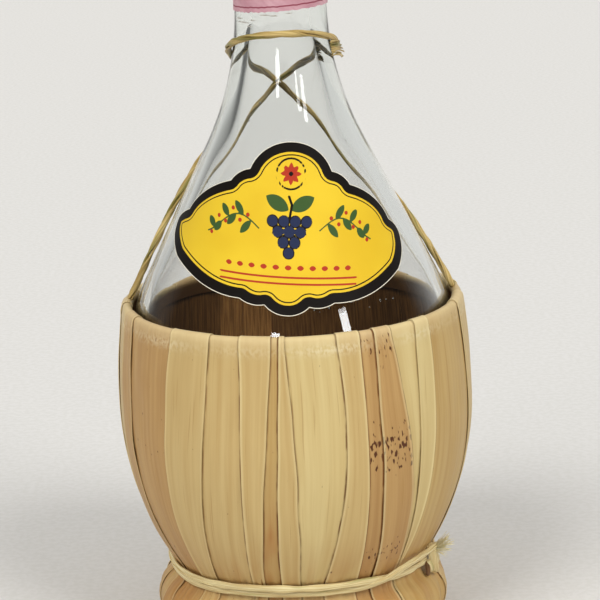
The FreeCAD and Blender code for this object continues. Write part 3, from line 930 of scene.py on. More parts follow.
@dataclass(frozen=True)
class PrintedPaper:
    """Coated label paper, printed: half gloss, with crisp ink edges and a white cut edge."""

    field_colour: str = "#E8C42C"
    field_shade: str = "#E0B824"
    border_colour: str = "#17120F"
    cut_colour: str = "#EDE6D2"
    cut_width: float = 0.22 * MM
    border_width: float = 3.5 * MM
    line_place: float = 4.5 * MM
    line_width: float = 0.42 * MM
    softness: float = 0.06 * MM
    tooth_size: float = 0.4 * MM
    cloud_size: float = 26 * MM
    tooth_depth: float = 0.02 * MM

    def make(self) -> Finish:
        """Make the material."""
        palette = Palette("printed_label_paper", 0.5, Specular_IOR_Level=0.3)
        wire = palette.wire
        places = Follow.PLACES.on(palette)
        tooth = palette.grain(places, (self.tooth_size,) * 3, 3)
        cloud = palette.grain(places, (self.cloud_size,) * 3, 2)
        edge = wire("Attribute", out="Fac", attribute_name="edge")
        from_line = wire("Math", (edge, self.line_place), operation="SUBTRACT")
        figures = [
            (wire("Attribute", out="Fac", attribute_name=ink.name.lower()), 0.0, ink.value)
            for ink in Ink
        ]
        figures += [
            (wire("Math", (from_line,), operation="ABSOLUTE"), self.line_width / 2, self.border_colour),
            (edge, self.border_width, self.border_colour),
            (edge, self.cut_width, self.cut_colour),
        ]
        soft = self.softness
        inks = [(off, 1.0, colour, reach + soft, reach - soft) for off, reach, colour in figures]
        paper = palette.painted(self.field_colour, (cloud, 1.0, self.field_shade, 0.35, 0.7), *inks)
        rough = wire("MapRange", (tooth, 0.0, 1.0, 0.42, 0.58))
        relief = wire("Math", (cloud, 2.0, tooth), operation="MULTIPLY_ADD")
        bump = wire("Bump", {"Height": relief, "Distance": self.tooth_depth})
        return palette.used(Base_Color=paper, Roughness=rough, Normal=bump)


@dataclass(frozen=True)
class SealPaper:
    """Thin pink banknote-like paper: matt, with faint waved lines and two printed rules."""

    light: str = "#D2A5AD"
    deep: str = "#BE8793"
    rule_colour: str = "#8C3A4B"
    wave_spacing: float = 4.8 * MM
    wave_share: float = 0.35
    width: float = 18 * MM
    rule_place: float = 1.6 * MM
    rule_width: float = 0.45 * MM
    softness: float = 0.05 * MM
    tooth_size: float = 0.5 * MM
    cloud_size: float = 9 * MM
    crease_depth: float = 0.05 * MM

    def make(self) -> Finish:
        """Make the material."""
        palette = Palette("pink_seal_paper", 0.62)
        wire = palette.wire
        lengths = Follow.FIBRES.on(palette)
        tooth = palette.grain(lengths, (self.tooth_size,) * 3, 3)
        cloud = palette.grain(lengths, (self.cloud_size,) * 3, 2)
        inputs = {"Vector": lengths, "Scale": 1 / self.wave_spacing, "Distortion": 2.0, "Detail": 0.0}
        waves = wire("TexWave", inputs, "Fac", bands_direction="DIAGONAL")
        off_rule = wire("SeparateXYZ", (lengths,), "Y")
        for place in (self.width / 2, self.width / 2 - self.rule_place):
            off_rule = wire("Math", (off_rule, place), operation="SUBTRACT")
            off_rule = wire("Math", (off_rule,), operation="ABSOLUTE")
        half = self.rule_width / 2
        limits = half + self.softness, half - self.softness
        paper = palette.painted(
            self.light,
            (cloud, 1.0, self.deep, 0.3, 0.7),
            (waves, self.wave_share, self.deep, 0.6, 0.9),
            (off_rule, 1.0, self.rule_colour, *limits),
        )
        relief = wire("Math", (cloud, 3.0, tooth), operation="MULTIPLY_ADD")
        bump = wire("Bump", {"Height": relief, "Distance": self.crease_depth})
        return palette.used(Base_Color=paper, Normal=bump)


# Glass flask


@dataclass
class GlassFlask:
    """The round-bottomed flask, spun from its half section inside and out."""

    belly_radius: float = 59.4 * MM
    belly_height: float = 82 * MM
    belly_arc: float = 96 * MM
    lift: float = 8 * MM
    flank_lean: float = 26.6
    neck_arc: float = 104 * MM
    neck_top_radius: float = 13.8 * MM
    neck_top_height: float = 268 * MM
    neck_lean: float = 1.7
    lip_radius: float = 15 * MM
    lip_step: float = 2 * MM
    lip_band: float = 8 * MM
    lip_crown: float = 3 * MM
    lip_crown_width: float = 2.4 * MM
    mouth_rounding: float = 2 * MM
    bore_radius: float = 9.5 * MM
    belly_wall: float = 3.6 * MM
    base_wall: float = 6 * MM
    inside_flank_lean: float = 28.0
    inside_neck_arc: float = 100 * MM
    inside_wave: float = 0.22 * MM
    outside_wave: float = 0.05 * MM
    wave_spread: float = 1.6
    wave_lengths: Sizes = (45 * MM, 60 * MM)
    calm_base: float = 8 * MM
    calm_neck: float = 30 * MM
    spin_steps: int = 160
    outline_step: float = 2.2 * MM
    seed_depth: float = 1.2 * MM
    seed_height: float = 0.8
    seed_squeeze: float = 0.35
    seeds: Rows = (
        (3.5, 123.1, 0.3), (8.3, 123.1, 0.4), (10.2, 122.4, 0.25), (14.0, 123.3, 0.5),
        (23.2, 124.2, 0.35), (30.0, 121.9, 0.3), (35.6, 123.3, 0.5), (38.4, 123.2, 0.35),
        (41.8, 122.9, 0.45), (-58.0, 160.0, 0.3), (-24.0, 186.0, 0.4), (52.0, 172.0, 0.3),
        (150.0, 150.0, 0.5), (-140.0, 176.0, 0.4), (100.0, 140.0, 0.4),
    )

    @cached_property
    def belly_centre(self) -> Array:
        """Centre of the belly arc."""
        return np.array([self.belly_radius - self.belly_arc, self.belly_height])

    def dome(self, arc: float, lowest: float) -> Bend:
        """The round bottom that is tangent to a belly arc and starts on the axis.

        Args:
            arc: Radius of the belly arc.
            lowest: Height of the bottom.

        Returns:
            The arc from the axis to the belly.
        """
        rise = self.belly_height - lowest
        radius = (arc**2 - self.belly_centre[0] ** 2 - rise**2) / (2 * (arc - rise))
        centre = np.array([0, lowest + radius])
        return Bend(centre, radius, -FULL_TURN / 4, bearing(self.belly_centre, centre))

    def face(
        self, arc: float, lowest: float, lean: float, neck_foot: Array, neck_lean: float, neck_arc: float
    ) -> list[Bend | Straight]:
        """Join the round bottom, belly, flank and neck of one face of the wall.

        Args:
            arc: Radius of the belly arc.
            lowest: Height of the bottom.
            lean: Lean of the flank.
            neck_foot: A point on the neck's line.
            neck_lean: Lean of the neck.
            neck_arc: Radius of the arc between flank and neck.

        Returns:
            The runs from the axis to the neck.
        """
        dome = self.dome(arc, lowest)
        belly = Bend(self.belly_centre, arc, dome.end, lean)
        foot = self.belly_centre + arc * unit(lean)
        slope, neck_slope = math.tan(math.radians(lean)), math.tan(math.radians(neck_lean))
        spread = foot[0] - neck_foot[0] - (neck_foot[1] - foot[1]) * neck_slope
        rise = spread / (slope - neck_slope)
        corner = foot + np.array([-rise * slope, rise])
        reach = neck_arc * math.tan(math.radians(lean - neck_lean) / 2)
        start = corner - reach * unit(lean + FULL_TURN / 4)
        end = corner + reach * unit(neck_lean + FULL_TURN / 4)
        centre = end + neck_arc * unit(neck_lean)
        turn = Bend(centre, neck_arc, HALF_TURN + lean, HALF_TURN + neck_lean)
        return [dome, belly, Straight(foot, start), turn, Straight(end, neck_foot)]

    @cached_property
    def outside_runs(self) -> list[Bend | Straight]:
        """The outside from the bottom to the neck's top."""
        neck_top = np.array([self.neck_top_radius, self.neck_top_height])
        return self.face(
            self.belly_arc, self.lift, self.flank_lean, neck_top, self.neck_lean, self.neck_arc
        )

    @cached_property
    def mouth_height(self) -> float:
        """Height of the lip's top."""
        return self.neck_top_height + self.lip_step + self.lip_band + self.lip_crown

    def lip_points(self) -> Array:
        """The lip from the neck's top to the bore."""
        band_top = self.mouth_height - self.lip_crown
        crown_centre = np.array([self.lip_radius - self.lip_crown_width, band_top])
        quarter = np.linspace(0, FULL_TURN / 4, 7)
        crown = crown_centre + unit(quarter) * [self.lip_crown_width, self.lip_crown]
        rounding = self.mouth_rounding
        mouth_centre = np.array([self.bore_radius + rounding, self.mouth_height - rounding])
        mouth = mouth_centre + rounding * unit(FULL_TURN / 4 + quarter)
        step = [[self.lip_radius, self.neck_top_height + self.lip_step]]
        return np.concatenate([step, crown, mouth])

    def inside_points(self) -> Array:
        """The inside from the bore down to the axis."""
        arc = self.belly_arc - self.belly_wall
        bore = np.array([self.bore_radius, self.mouth_height - self.mouth_rounding])
        lowest = self.lift + self.base_wall
        runs = self.face(arc, lowest, self.inside_flank_lean, bore, 0, self.inside_neck_arc)
        walked = trace(runs, [self.outline_step] * len(runs))
        return walked.points[::-1][1:]

    @cached_property
    def outside(self) -> Trace:
        """The outside walked in fine steps, for what lies on the glass."""
        return trace(self.outside_runs, [0.5 * MM] * len(self.outside_runs))

    def surface(self, height: Array) -> tuple[Array, Array]:
        """Find the glass at heights.

        Args:
            height: Heights on the outside.

        Returns:
            The radius there and the outward normals in the half section.
        """
        heights = self.outside.points[:, 1]
        radius = np.interp(height, heights, self.outside.points[:, 0])
        normal = [np.interp(height, heights, self.outside.normals[:, axis]) for axis in (0, 1)]
        return radius, np.stack(normal, axis=-1)

    def beside(self, azimuth: Array, height: Array, stand_off: Array) -> Array:
        """Points at a stand-off from the glass."""
        radius, normal = self.surface(height)
        return around(azimuth, radius + stand_off * normal[..., 0], height + stand_off * normal[..., 1])

    def build(self) -> None:
        """Spin the flask, make its walls a little uneven and dress it."""
        side = trace(self.outside_runs, [self.outline_step] * len(self.outside_runs)).points
        section = np.concatenate([side, self.lip_points(), self.inside_points()])
        piece = lathe("flask_glass", section, self.spin_steps)
        places = vertex_places(piece)
        height = places[:, 2]
        radius = np.hypot(places[:, 0], places[:, 1])
        outer, _ = self.surface(height)
        inner = (radius < outer - self.outline_step / 2) & (height < self.neck_top_height)
        turn = np.arctan2(places[:, 0], -places[:, 1])
        wave = np.zeros(len(places))
        for seed, way, length in zip((11, 12), (np.cos(turn), np.sin(turn)), self.wave_lengths):
            wave += Uneven(seed, self.wave_spread, length)(way * 2, height)
        depth = np.where(inner, self.inside_wave, self.outside_wave) * eased(radius / self.calm_base)
        depth *= eased((self.neck_top_height - height) / self.calm_neck)
        places[:, :2] *= (1 + depth * wave / 2 / np.maximum(radius, MM))[:, None]
        move_vertices(piece, places)
        piece = joined("flask_glass", [piece, *self.bubbles()])
        piece.visible_shadow = False
        seat(piece, "glass", "glass_flask", FlintGlass().make())

    def bubbles(self) -> list[Piece]:
        """Small bubbles that the blowing left in the wall, with their faces turned inwards."""
        made = []
        for azimuth, height, size in self.seeds:
            clear_selection()
            bpy.ops.mesh.primitive_ico_sphere_add(subdivisions=2, radius=size * MM)
            bubble = named("glass_seed")
            bpy.ops.object.mode_set(mode="EDIT")
            bpy.ops.mesh.flip_normals()
            bpy.ops.object.mode_set(mode="OBJECT")
            spot = self.beside(azimuth, height * MM, -self.seed_depth)
            out = around(azimuth, 1.0, 0.0)
            local = vertex_places(bubble)
            squeezed = local * [1, 1, self.seed_height] - np.outer(local @ out, out) * self.seed_squeeze
            move_vertices(bubble, spot + squeezed)
            made.append(bubble)
        return made


@dataclass
class CorkStopper:
    """The stopper: a turned cork with rounded rims and an uneven, pitted side."""

    mouth_height: float
    length: float = 45 * MM
    proud: float = 10 * MM
    radius: float = 9.35 * MM
    rim: float = 0.8 * MM
    pit_depth: float = 0.16 * MM
    pit_from: float = 0.35
    pit_sizes: Sizes = (2.6 * MM, 2.6 * MM, 4.2 * MM)
    steps: Sizes = (0.8 * MM, 0.3 * MM, 0.6 * MM, 0.3 * MM, 0.8 * MM)
    spin_steps: int = 96

    def build(self) -> None:
        """Turn the cork, pit it and dress it."""
        top = self.mouth_height + self.proud
        bottom = top - self.length
        inset = self.radius - self.rim
        low, high = bottom + self.rim, top - self.rim
        runs = [
            Straight(np.array([0, bottom]), np.array([inset, bottom])),
            Bend(np.array([inset, low]), self.rim, -FULL_TURN / 4, 0),
            Straight(np.array([self.radius, low]), np.array([self.radius, high])),
            Bend(np.array([inset, high]), self.rim, 0, FULL_TURN / 4),
            Straight(np.array([inset, top]), np.array([0, top])),
        ]
        piece = lathe("stopper_cork", trace(runs, self.steps).points, self.spin_steps)
        places = vertex_places(piece)
        pits = Uneven(21, *self.pit_sizes)(*places.T)
        sunk = self.pit_depth * np.clip(pits - self.pit_from, 0, 1)
        away = places - [0, 0, (top + bottom) / 2]
        reach = np.linalg.norm(away, axis=1, keepdims=True)
        move_vertices(piece, places - away / np.maximum(reach, MM) * sunk[:, None])
        seat(piece, "cork", "cork_stopper", NaturalCork().make(), body=CORK_BODY)


# Paper on the glass


def off_line(points: Array, line: Array) -> Array:
    """Measure how far points are from a line of straight segments.

    Args:
        points: Points as rows.
        line: Corners of the line, in order.

    Returns:
        The least distance of each point.
    """
    least = np.full(len(points), 1.0)
    for start, end in zip(line, line[1:]):
        run = end - start
        share = np.clip((points - start) @ run / max(run @ run, TINY), 0, 1)
        least = np.minimum(least, np.linalg.norm(points - start - share[:, None] * run, axis=1))
    return least


class Drawing:
    """Signed distances to simple drawn figures: negative inside, in metres."""

    def __init__(self, points: Array) -> None:
        """Remember the flat places of the paper's vertices."""
        self.points = points
        self.inks: dict[Ink, Array] = {ink: np.full(len(points), 1.0) for ink in Ink}

    def lay(self, ink: Ink, distance: Array) -> None:
        """Add a figure to an ink."""
        self.inks[ink] = np.minimum(self.inks[ink], distance)

    def disc(self, centre: Sequence[float], radius: float) -> Array:
        """A round spot."""
        return np.linalg.norm(self.points - centre, axis=1) - radius

    def stroke(self, line: Array, width: float) -> Array:
        """A line of round-ended segments."""
        return off_line(self.points, line) - width / 2

    def leaf(self, root: Sequence[float], angle: float, length: float, width: float) -> Array:
        """A pointed leaf: what two equal discs share.

        Args:
            root: Where the leaf starts.
            angle: Its direction.
            length: Its length.
            width: Its width.

        Returns:
            The distance from the leaf.
        """
        ahead = unit(angle)
        side = np.array([-ahead[1], ahead[0]])
        middle = np.array(root) + ahead * length / 2
        radius = (length**2 / 4 + width**2 / 4) / width
        shift = side * (radius - width / 2)
        return np.maximum(self.disc(middle + shift, radius), self.disc(middle - shift, radius))


@dataclass
class FrontLabel:
    """The label: a plain cartouche with a grape cluster, two sprigs and ruled bands, no lettering."""

    flask: GlassFlask
    stand_off: float = 0.22 * MM
    paper: float = 0.25 * MM
    bottom: float = 121.5 * MM
    top_rise: float = 52.3 * MM
    corners: Rows = (
        (13.3, 43.2), (19.4, 38.8), (32.8, 26.8), (37.2, 20.0), (36.4, 11.9), (15.4, 4.0), (7.3, 2.8),
        (0, 0),
    )
    bulge_share: float = 0.1
    pivot_rise: float = 25.5 * MM
    tilt: float = 4.4
    arc_columns: int = 26
    rows: int = 96
    crowding: float = 0.7
    grape_rows: tuple[int, ...] = (4, 3, 2, 1)
    grape_height: float = 28.2 * MM
    grape_pitch: float = 3.7 * MM
    grape_drop: float = 3.15 * MM
    grape_radius: float = 1.78 * MM
    grape_line: float = 0.16 * MM
    rule_heights: Sizes = (11.5 * MM, 9.6 * MM)
    rule_reach: float = 23 * MM
    rule_width: float = 0.6 * MM
    bead_height: float = 14.4 * MM
    bead_pitch: float = 4 * MM
    bead_size: Sizes = (2.2 * MM, 1.5 * MM)
    crest_height: float = 42.6 * MM
    crest_radius: float = 4.7 * MM
    petals: int = 8
    petal_size: Sizes = (3.5 * MM, 1.5 * MM)

    def arc_through(self, start: Array, middle: Array, end: Array) -> Array:
        """Walk an arc through three points.

        Args:
            start: First point.
            middle: A point on the way.
            end: Last point.

        Returns:
            Points on the arc, without its end.
        """
        first, second = middle - start, end - start
        cross = 2 * (first[0] * second[1] - first[1] * second[0])
        across = np.array([second[1], -second[0]]) * (first @ first)
        across -= np.array([first[1], -first[0]]) * (second @ second)
        centre = start + across / cross
        from_angle, to_angle = bearing(centre, start), bearing(centre, end)
        turn = (to_angle - from_angle) % FULL_TURN
        if (bearing(centre, middle) - from_angle) % FULL_TURN > turn:
            turn -= FULL_TURN
        angles = from_angle + turn * np.arange(self.arc_columns) / self.arc_columns
        return centre + np.linalg.norm(start - centre) * unit(angles)

    def outline(self) -> Array:
        """The cartouche's outline as (x, height), clockwise from the left of the crest."""
        right = [np.array(corner) * MM + [0, self.bottom] for corner in self.corners]
        left = [point * [-1, 1] for point in right]
        arcs = [self.arc_through(left[0], np.array([0, self.bottom + self.top_rise]), right[0])]
        round_trip = right + left[-2::-1]
        for start, end in zip(round_trip, round_trip[1:]):
            chord = end - start
            bulge = (start + end) / 2 + np.array([-chord[1], chord[0]]) * self.bulge_share
            arcs.append(self.arc_through(start, bulge, end))
        return self.turned(np.concatenate(arcs), -self.tilt)

    @cached_property
    def pivot(self) -> Array:
        """The point about which the label is tilted."""
        return np.array([0, self.bottom + self.pivot_rise])

    def turned(self, points: Array, angle: float) -> Array:
        """Turn points about the pivot, anticlockwise as seen from the front."""
        ahead = unit(angle)
        return self.pivot + (points - self.pivot) @ np.array([ahead, [-ahead[1], ahead[0]]])

    def bent(self, points: Array) -> tuple[Array, Array]:
        """Radius of the glass at points drawn from the front, and their angles round it in radians."""
        radius, _ = self.flask.surface(points[:, 1])
        return radius, np.arcsin(np.clip(points[:, 0] / radius, -1, 1))

    def on_glass(self, points: Array) -> Array:
        """Lay points that are drawn from the front on the glass."""
        _, turn = self.bent(points)
        return self.flask.beside(np.degrees(turn), points[:, 1], self.stand_off)

    def flattened(self, points: Array) -> Array:
        """Lengths across from the upright paper's middle and up from its bottom."""
        radius, turn = self.bent(points)
        return self.turned(np.stack([radius * turn, points[:, 1]], axis=1), self.tilt) - [0, self.bottom]

    def printed(self, places: Array) -> dict[Ink, Array]:
        """Draw the label's figures.

        Args:
            places: Flat places of the paper's vertices.

        Returns:
            The distance to each ink's figures.
        """
        draw = Drawing(places)
        middle = self.grape_height
        for row, count in enumerate(self.grape_rows):
            for number in range(count):
                across = (number - (count - 1) / 2) * self.grape_pitch
                grape = draw.disc((across, middle - row * self.grape_drop), self.grape_radius)
                draw.lay(Ink.BLUE, grape)
                draw.lay(Ink.BLACK, np.abs(grape) - self.grape_line)
        stem = np.array([[0, 1], [0.6, 5], [-0.4, 7.5]]) * MM + [0, middle]
        draw.lay(Ink.BLACK, draw.stroke(stem, 0.8 * MM))
        for side in (-1, 1):
            root = (0.4 * MM * side, middle + 3.4 * MM)
            draw.lay(Ink.GREEN, draw.leaf(root, 90 - side * 62, 8.5 * MM, 4.4 * MM))
            self.draw_sprig(draw, side)
        for height in self.rule_heights:
            rule = np.array([[-self.rule_reach, height], [self.rule_reach, height]])
            draw.lay(Ink.RED, draw.stroke(rule, self.rule_width))
        for number in range(-5, 6):
            root = (number * self.bead_pitch - self.bead_size[0] / 2, self.bead_height)
            draw.lay(Ink.RED, draw.leaf(root, 0, *self.bead_size))
        crest = (0, self.crest_height)
        for petal in range(self.petals):
            draw.lay(Ink.RED, draw.leaf(crest, petal * FULL_TURN / self.petals, *self.petal_size))
        draw.lay(Ink.BLACK, draw.disc(crest, 0.75 * MM))
        draw.lay(Ink.BLACK, np.abs(draw.disc(crest, self.crest_radius)) - 0.3 * MM)
        return draw.inks

    def draw_sprig(self, draw: Drawing, side: int) -> None:
        """Draw a leafy sprig beside the grapes.

        Args:
            draw: The label's drawing.
            side: -1 for the left and 1 for the right.
        """
        share = np.linspace(0, 1, 15)
        reach = (10 + 19 * share) * MM
        rise = self.grape_height - (2.6 - 3.6 * np.sin(share * math.pi * 1.35)) * MM
        draw.lay(Ink.GREEN, draw.stroke(np.stack([side * reach, rise], axis=1), 0.45 * MM))
        for number in range(6):
            place = 2 + number * 2
            root = (side * reach[place], rise[place])
            lean = 52 if number % 2 else -48
            angle = lean if side > 0 else HALF_TURN - lean
            draw.lay(Ink.GREEN, draw.leaf(root, angle, (5.6 - 0.35 * number) * MM, 2.3 * MM))
            berry = (side * (reach[place] + 1.2 * MM), rise[place] + (-1.6 if number % 2 else 1.6) * MM)
            draw.lay(Ink.RED, draw.disc(berry, 0.65 * MM))

    def build(self) -> None:
        """Lay the paper on the glass, print it and dress it."""
        outline = self.outline()
        columns = len(outline)

        def drawn(across: Array, along: Array) -> Array:
            """Points between the pivot and the outline, as seen from the front."""
            rim = outline[row_at(across, columns) % columns]
            return self.pivot + (rim - self.pivot) * along[:, None] ** self.crowding

        def place(across: Array, along: Array) -> Array:
            """Those points on the glass."""
            return self.on_glass(drawn(across, along))

        def uv(across: Array, along: Array) -> Array:
            """Those points on the flat paper."""
            return self.flattened(drawn(across, along))

        piece = laid_sheet("label_paper", columns, self.rows, place, uv)
        close_up(piece, recalculate=False)
        self.note_print(piece, self.on_glass(outline))
        thicken(piece, self.paper)
        seat(piece, "label_paper", "front_label", PrintedPaper().make())

    def note_print(self, piece: Piece, rim: Array) -> None:
        """Write the distance to the paper's edge and to each ink at the vertices.

        Args:
            piece: The paper.
            rim: Points of its edge, in order.
        """
        places = vertex_places(piece)
        note(piece, "edge", off_line(places, np.concatenate([rim, rim[:1]])))
        front = np.stack([places[:, 0], places[:, 2]], axis=1)
        for ink, distance in self.printed(self.flattened(front)).items():
            note(piece, ink.name.lower(), distance)


@dataclass
class NeckSeal:
    """The pink paper strip round the neck, a little crumpled and torn at its lower edge."""

    flask: GlassFlask
    stand_off: float = 0.26 * MM
    paper: float = 0.22 * MM
    height: float = 215.4 * MM
    width: float = 18 * MM
    tilt: float = 2.7
    wrap: float = 352.0
    crumple: float = 0.1 * MM
    tear: float = 0.25 * MM
    ragged: float = 0.35
    columns: int = 180
    rows: int = 22
    scrap_sides: int = 16
    scrap_rows: int = 4
    scraps: Rows = (
        (-61, 2.2, 3.0, 0.5), (-52, 3.4, 4.4, 0.6), (-41, 4.6, 2.6, 0.4), (-36, 2.6, 1.8, 0.5),
        (-20, 1.0, 3.4, 0.5), (-9, 1.3, 2.6, 0.45), (9, 0.9, 2.0, 0.4),
    )

    @cached_property
    def slope(self) -> float:
        """Rise of the strip per length across, as seen from the front."""
        return math.tan(math.radians(self.tilt))

    def build(self) -> None:
        """Wrap the strip round the neck, add its torn scraps and dress them."""
        tear = Uneven(31, 9.0)
        crease = Uneven(32, 16.0, 7 * MM)

        def place(across: Array, along: Array) -> Array:
            """Points round the neck and up the strip."""
            azimuth = (across - 0.5) * self.wrap
            level = self.height + self.width * along + self.tear * tear(azimuth) * (1 - along) ** 6
            radius, _ = self.flask.surface(level)
            height = level + radius * np.sin(np.radians(azimuth)) * self.slope
            off = self.stand_off + self.crumple * np.abs(crease(azimuth, level))
            return self.flask.beside(azimuth, height, off)

        girth = math.radians(self.wrap) * self.flask.neck_top_radius
        lengths = Lengths(girth, np.linspace(0, self.width, self.rows + 1))
        strip = laid_sheet("seal_paper", self.columns, self.rows, place, lengths)
        thicken(strip, self.paper)
        dress(strip, SealPaper().make())
        residue = PAPER_RESIDUE.make()
        made = [self.scrap(number, spot, residue) for number, spot in enumerate(self.scraps)]
        piece = joined("seal_paper", [strip, *made])
        seat(piece, "seal_paper", "neck_seal_strip", angle=50)

    def scrap(self, number: int, spot: Sequence[float], residue: Finish) -> Piece:
        """Lay one torn scrap of the strip that still sticks to the glass below it.

        Args:
            number: Number of the scrap, which fixes its ragged edge.
            spot: Its azimuth, and its drop below the strip, length and width in mm.
            residue: Its finish.

        Returns:
            The scrap.
        """
        azimuth, drop, length, width = spot
        edge = Uneven(40 + number, 0.3)
        radius = self.flask.neck_top_radius
        middle = self.height - drop * MM + radius * math.sin(math.radians(azimuth)) * self.slope

        def place(across: Array, along: Array) -> Array:
            """Points round the scrap and out from its middle."""
            turn = math.tau * across
            size = along * (1 + self.ragged * edge(np.cos(turn) + 2 * np.sin(turn)))
            height = middle + width / 2 * MM * size * np.sin(turn)
            swing = np.degrees(length / 2 * MM * size * np.cos(turn) / radius)
            return self.flask.beside(azimuth + swing, height, np.full(len(across), self.stand_off))

        lengths = Lengths(MM, np.linspace(0, MM, self.scrap_rows + 1))
        piece = laid_sheet(f"seal_scrap_{number}", self.scrap_sides, self.scrap_rows, place, lengths)
        close_up(piece, recalculate=False)
        thicken(piece, self.paper / 2)
        dress(piece, residue)
        return piece


# Basket


class Ply(Enum):
    """Whether a strip lies under its neighbours' edges or over them."""

    UNDER = 0
    OVER = 1


@dataclass(frozen=True)
class Ripple:
    """Unevenness of a strip: its height, and its wave lengths across and along."""

    height: float
    across: float
    along: float

    def at(self, seed: int, place: Array, run: Array) -> Array:
        """The unevenness at places across the strip and lengths along it."""
        return self.height * Uneven(seed, self.across, self.along)(place, run)


@dataclass
class HuskBasket:
    """The basket: husk strips from the tuck under the foot, over the hoop, to the leg inside the rim.

    Stand-offs, edge curls and rim puckers are given for the under ply and the over ply.
    """

    flask: GlassFlask
    ply: float = 0.6 * MM
    ply_gap: float = 0.15 * MM
    leaf: float = 0.24 * MM
    offs: Sizes = (0.45 * MM, 0.76 * MM)
    gap: float = 0.6 * MM
    belly_height: float = 80 * MM
    lower_arc: float = 100 * MM
    waist_arc: float = 6 * MM
    hoop_height: float = 114.6 * MM
    hoop_radius: float = 0.9 * MM
    leg_gap: float = 0.3 * MM
    leg_length: float = 6.5 * MM
    tuck_angle: float = -52.0
    foot_ring_radius: float = 10.45 * MM
    foot_ring_height: float = 10 * MM
    seat_gap: float = 0.3 * MM
    first_azimuth: float = -66.0
    lap_angle: float = 2.1
    column_width: float = 0.75 * MM
    width_shares: Sizes = (
        20.0, 14.8, 13.3, 7.6, 4.0, 5.4, 15.9, 7.3, 5.1, 10.6, 4.3, 6.5, 26.2, 11.0, 13.5, 8.4,
        18.0, 11.0, 7.6, 14.8, 10.2, 20.5, 6.8, 12.6, 9.4, 15.6, 7.2, 13.0, 10.8, 8.2, 11.6, 8.8,
    )
    seam_heights: Sizes = (113.0, 75.0, 28.0)
    drawn_seams: Rows = (
        (-66.0, -66.0, -66.0), (-43.2, -46.3, -49.0), (-28.1, -31.2, -39.1), (-17.5, -17.9, -21.2),
        (-7.5, -10.3, -15.9), (-4.7, -6.3, -8.9), (-3.1, -0.9, -1.2), (13.6, 15.3, 9.2),
        (21.2, 22.3, 23.3), (26.4, 27.4, 30.7), (32.6, 38.0, 43.0), (42.7, 42.0, 44.0),
        (49.2, 48.8, 44.9), (71.9, 75.0, 78.0),
    )
    # Strength of the seam line at each seam, which includes painted shadow.
    seam_shares: Sizes = (
        0.8, 0.55, 0.6, 0.75, 0.6, 0.95, 0.55, 0.8, 0.75, 1.0, 0.75, 0.4, 0.75, 0.9,
    )
    usual_share: float = 0.7
    seam_wander: float = 0.13
    most_lean: float = 1.6
    tones: str = "TSSSHSPSTTPPHSHPSTSHSPTSPRSPHSST"
    # Azimuths between which a strip's inner face gets the lighter copy of the inner husk, as painted
    # light.
    lit_inside_span: Sizes = (176.0, 206.0)
    flecked: dict[int, float] = field(default_factory=lambda: {8: 1.0, 9: 1.0, 0: 0.3, 16: 0.6, 24: 0.9})
    fleck_bands: Rows = ((76, 9, 1.0), (37, 6, 0.7), (110, 5, 0.8))
    stained: dict[int, float] = field(default_factory=lambda: {4: 1.0, 20: 0.7, 28: 0.5})
    curls: Sizes = (0.03 * MM, 0.13 * MM)
    under_rise: float = 0.02 * MM
    over_dip: float = -0.06 * MM
    wave: Ripple = Ripple(0.13 * MM, 13 * MM, 34 * MM)
    fibre_wave: Ripple = Ripple(0.045 * MM, 1.9 * MM, 60 * MM)
    puckers: tuple[Ripple, Ripple] = (
        Ripple(0.1 * MM, 2.4 * MM, 2.8 * MM), Ripple(0.24 * MM, 2.4 * MM, 2.8 * MM)
    )
    gather: Ripple = Ripple(0.3 * MM, 3.2 * MM, 30 * MM)
    flare: Ripple = Ripple(0.45 * MM, 9 * MM, 25 * MM)

    @cached_property
    def stack(self) -> float:
        """Thickness of two plies."""
        return 2 * self.ply + self.ply_gap

    @cached_property
    def fold_radius(self) -> float:
        """Radius of the fold over the hoop, at the inner face."""
        return self.hoop_radius + self.ply_gap

    @cached_property
    def hoop_centre(self) -> Array:
        """Middle of the hoop in the half section."""
        reach = self.flask.belly_arc + self.leg_gap + self.stack + self.fold_radius
        rise = self.hoop_height - self.flask.belly_height
        return np.array([self.flask.belly_centre[0] + math.sqrt(reach**2 - rise**2), self.hoop_height])

    @cached_property
    def foot_centre(self) -> Array:
        """Middle of the foot ring in the half section."""
        dome = self.flask.outside_runs[0]
        reach = dome.radius + self.seat_gap + self.foot_ring_radius
        drop = dome.centre[1] - self.foot_ring_height
        return np.array([math.sqrt(reach**2 - drop**2), self.foot_ring_height])

    @cached_property
    def waist_centre(self) -> Array:
        """Centre of the hollow arc between the belly and the foot."""
        radius = self.flask.belly_radius + self.gap
        lower = np.array([radius - self.lower_arc, self.belly_height])
        belly_reach = self.lower_arc + self.waist_arc
        foot_reach = self.foot_ring_radius + self.ply_gap + self.waist_arc
        across = lower - self.foot_centre
        distance = float(np.linalg.norm(across))
        ahead = across / distance
        along = (foot_reach**2 - belly_reach**2 + distance**2) / (2 * distance)
        aside = math.sqrt(foot_reach**2 - along**2)
        return self.foot_centre + ahead * along + np.array([ahead[1], -ahead[0]]) * aside

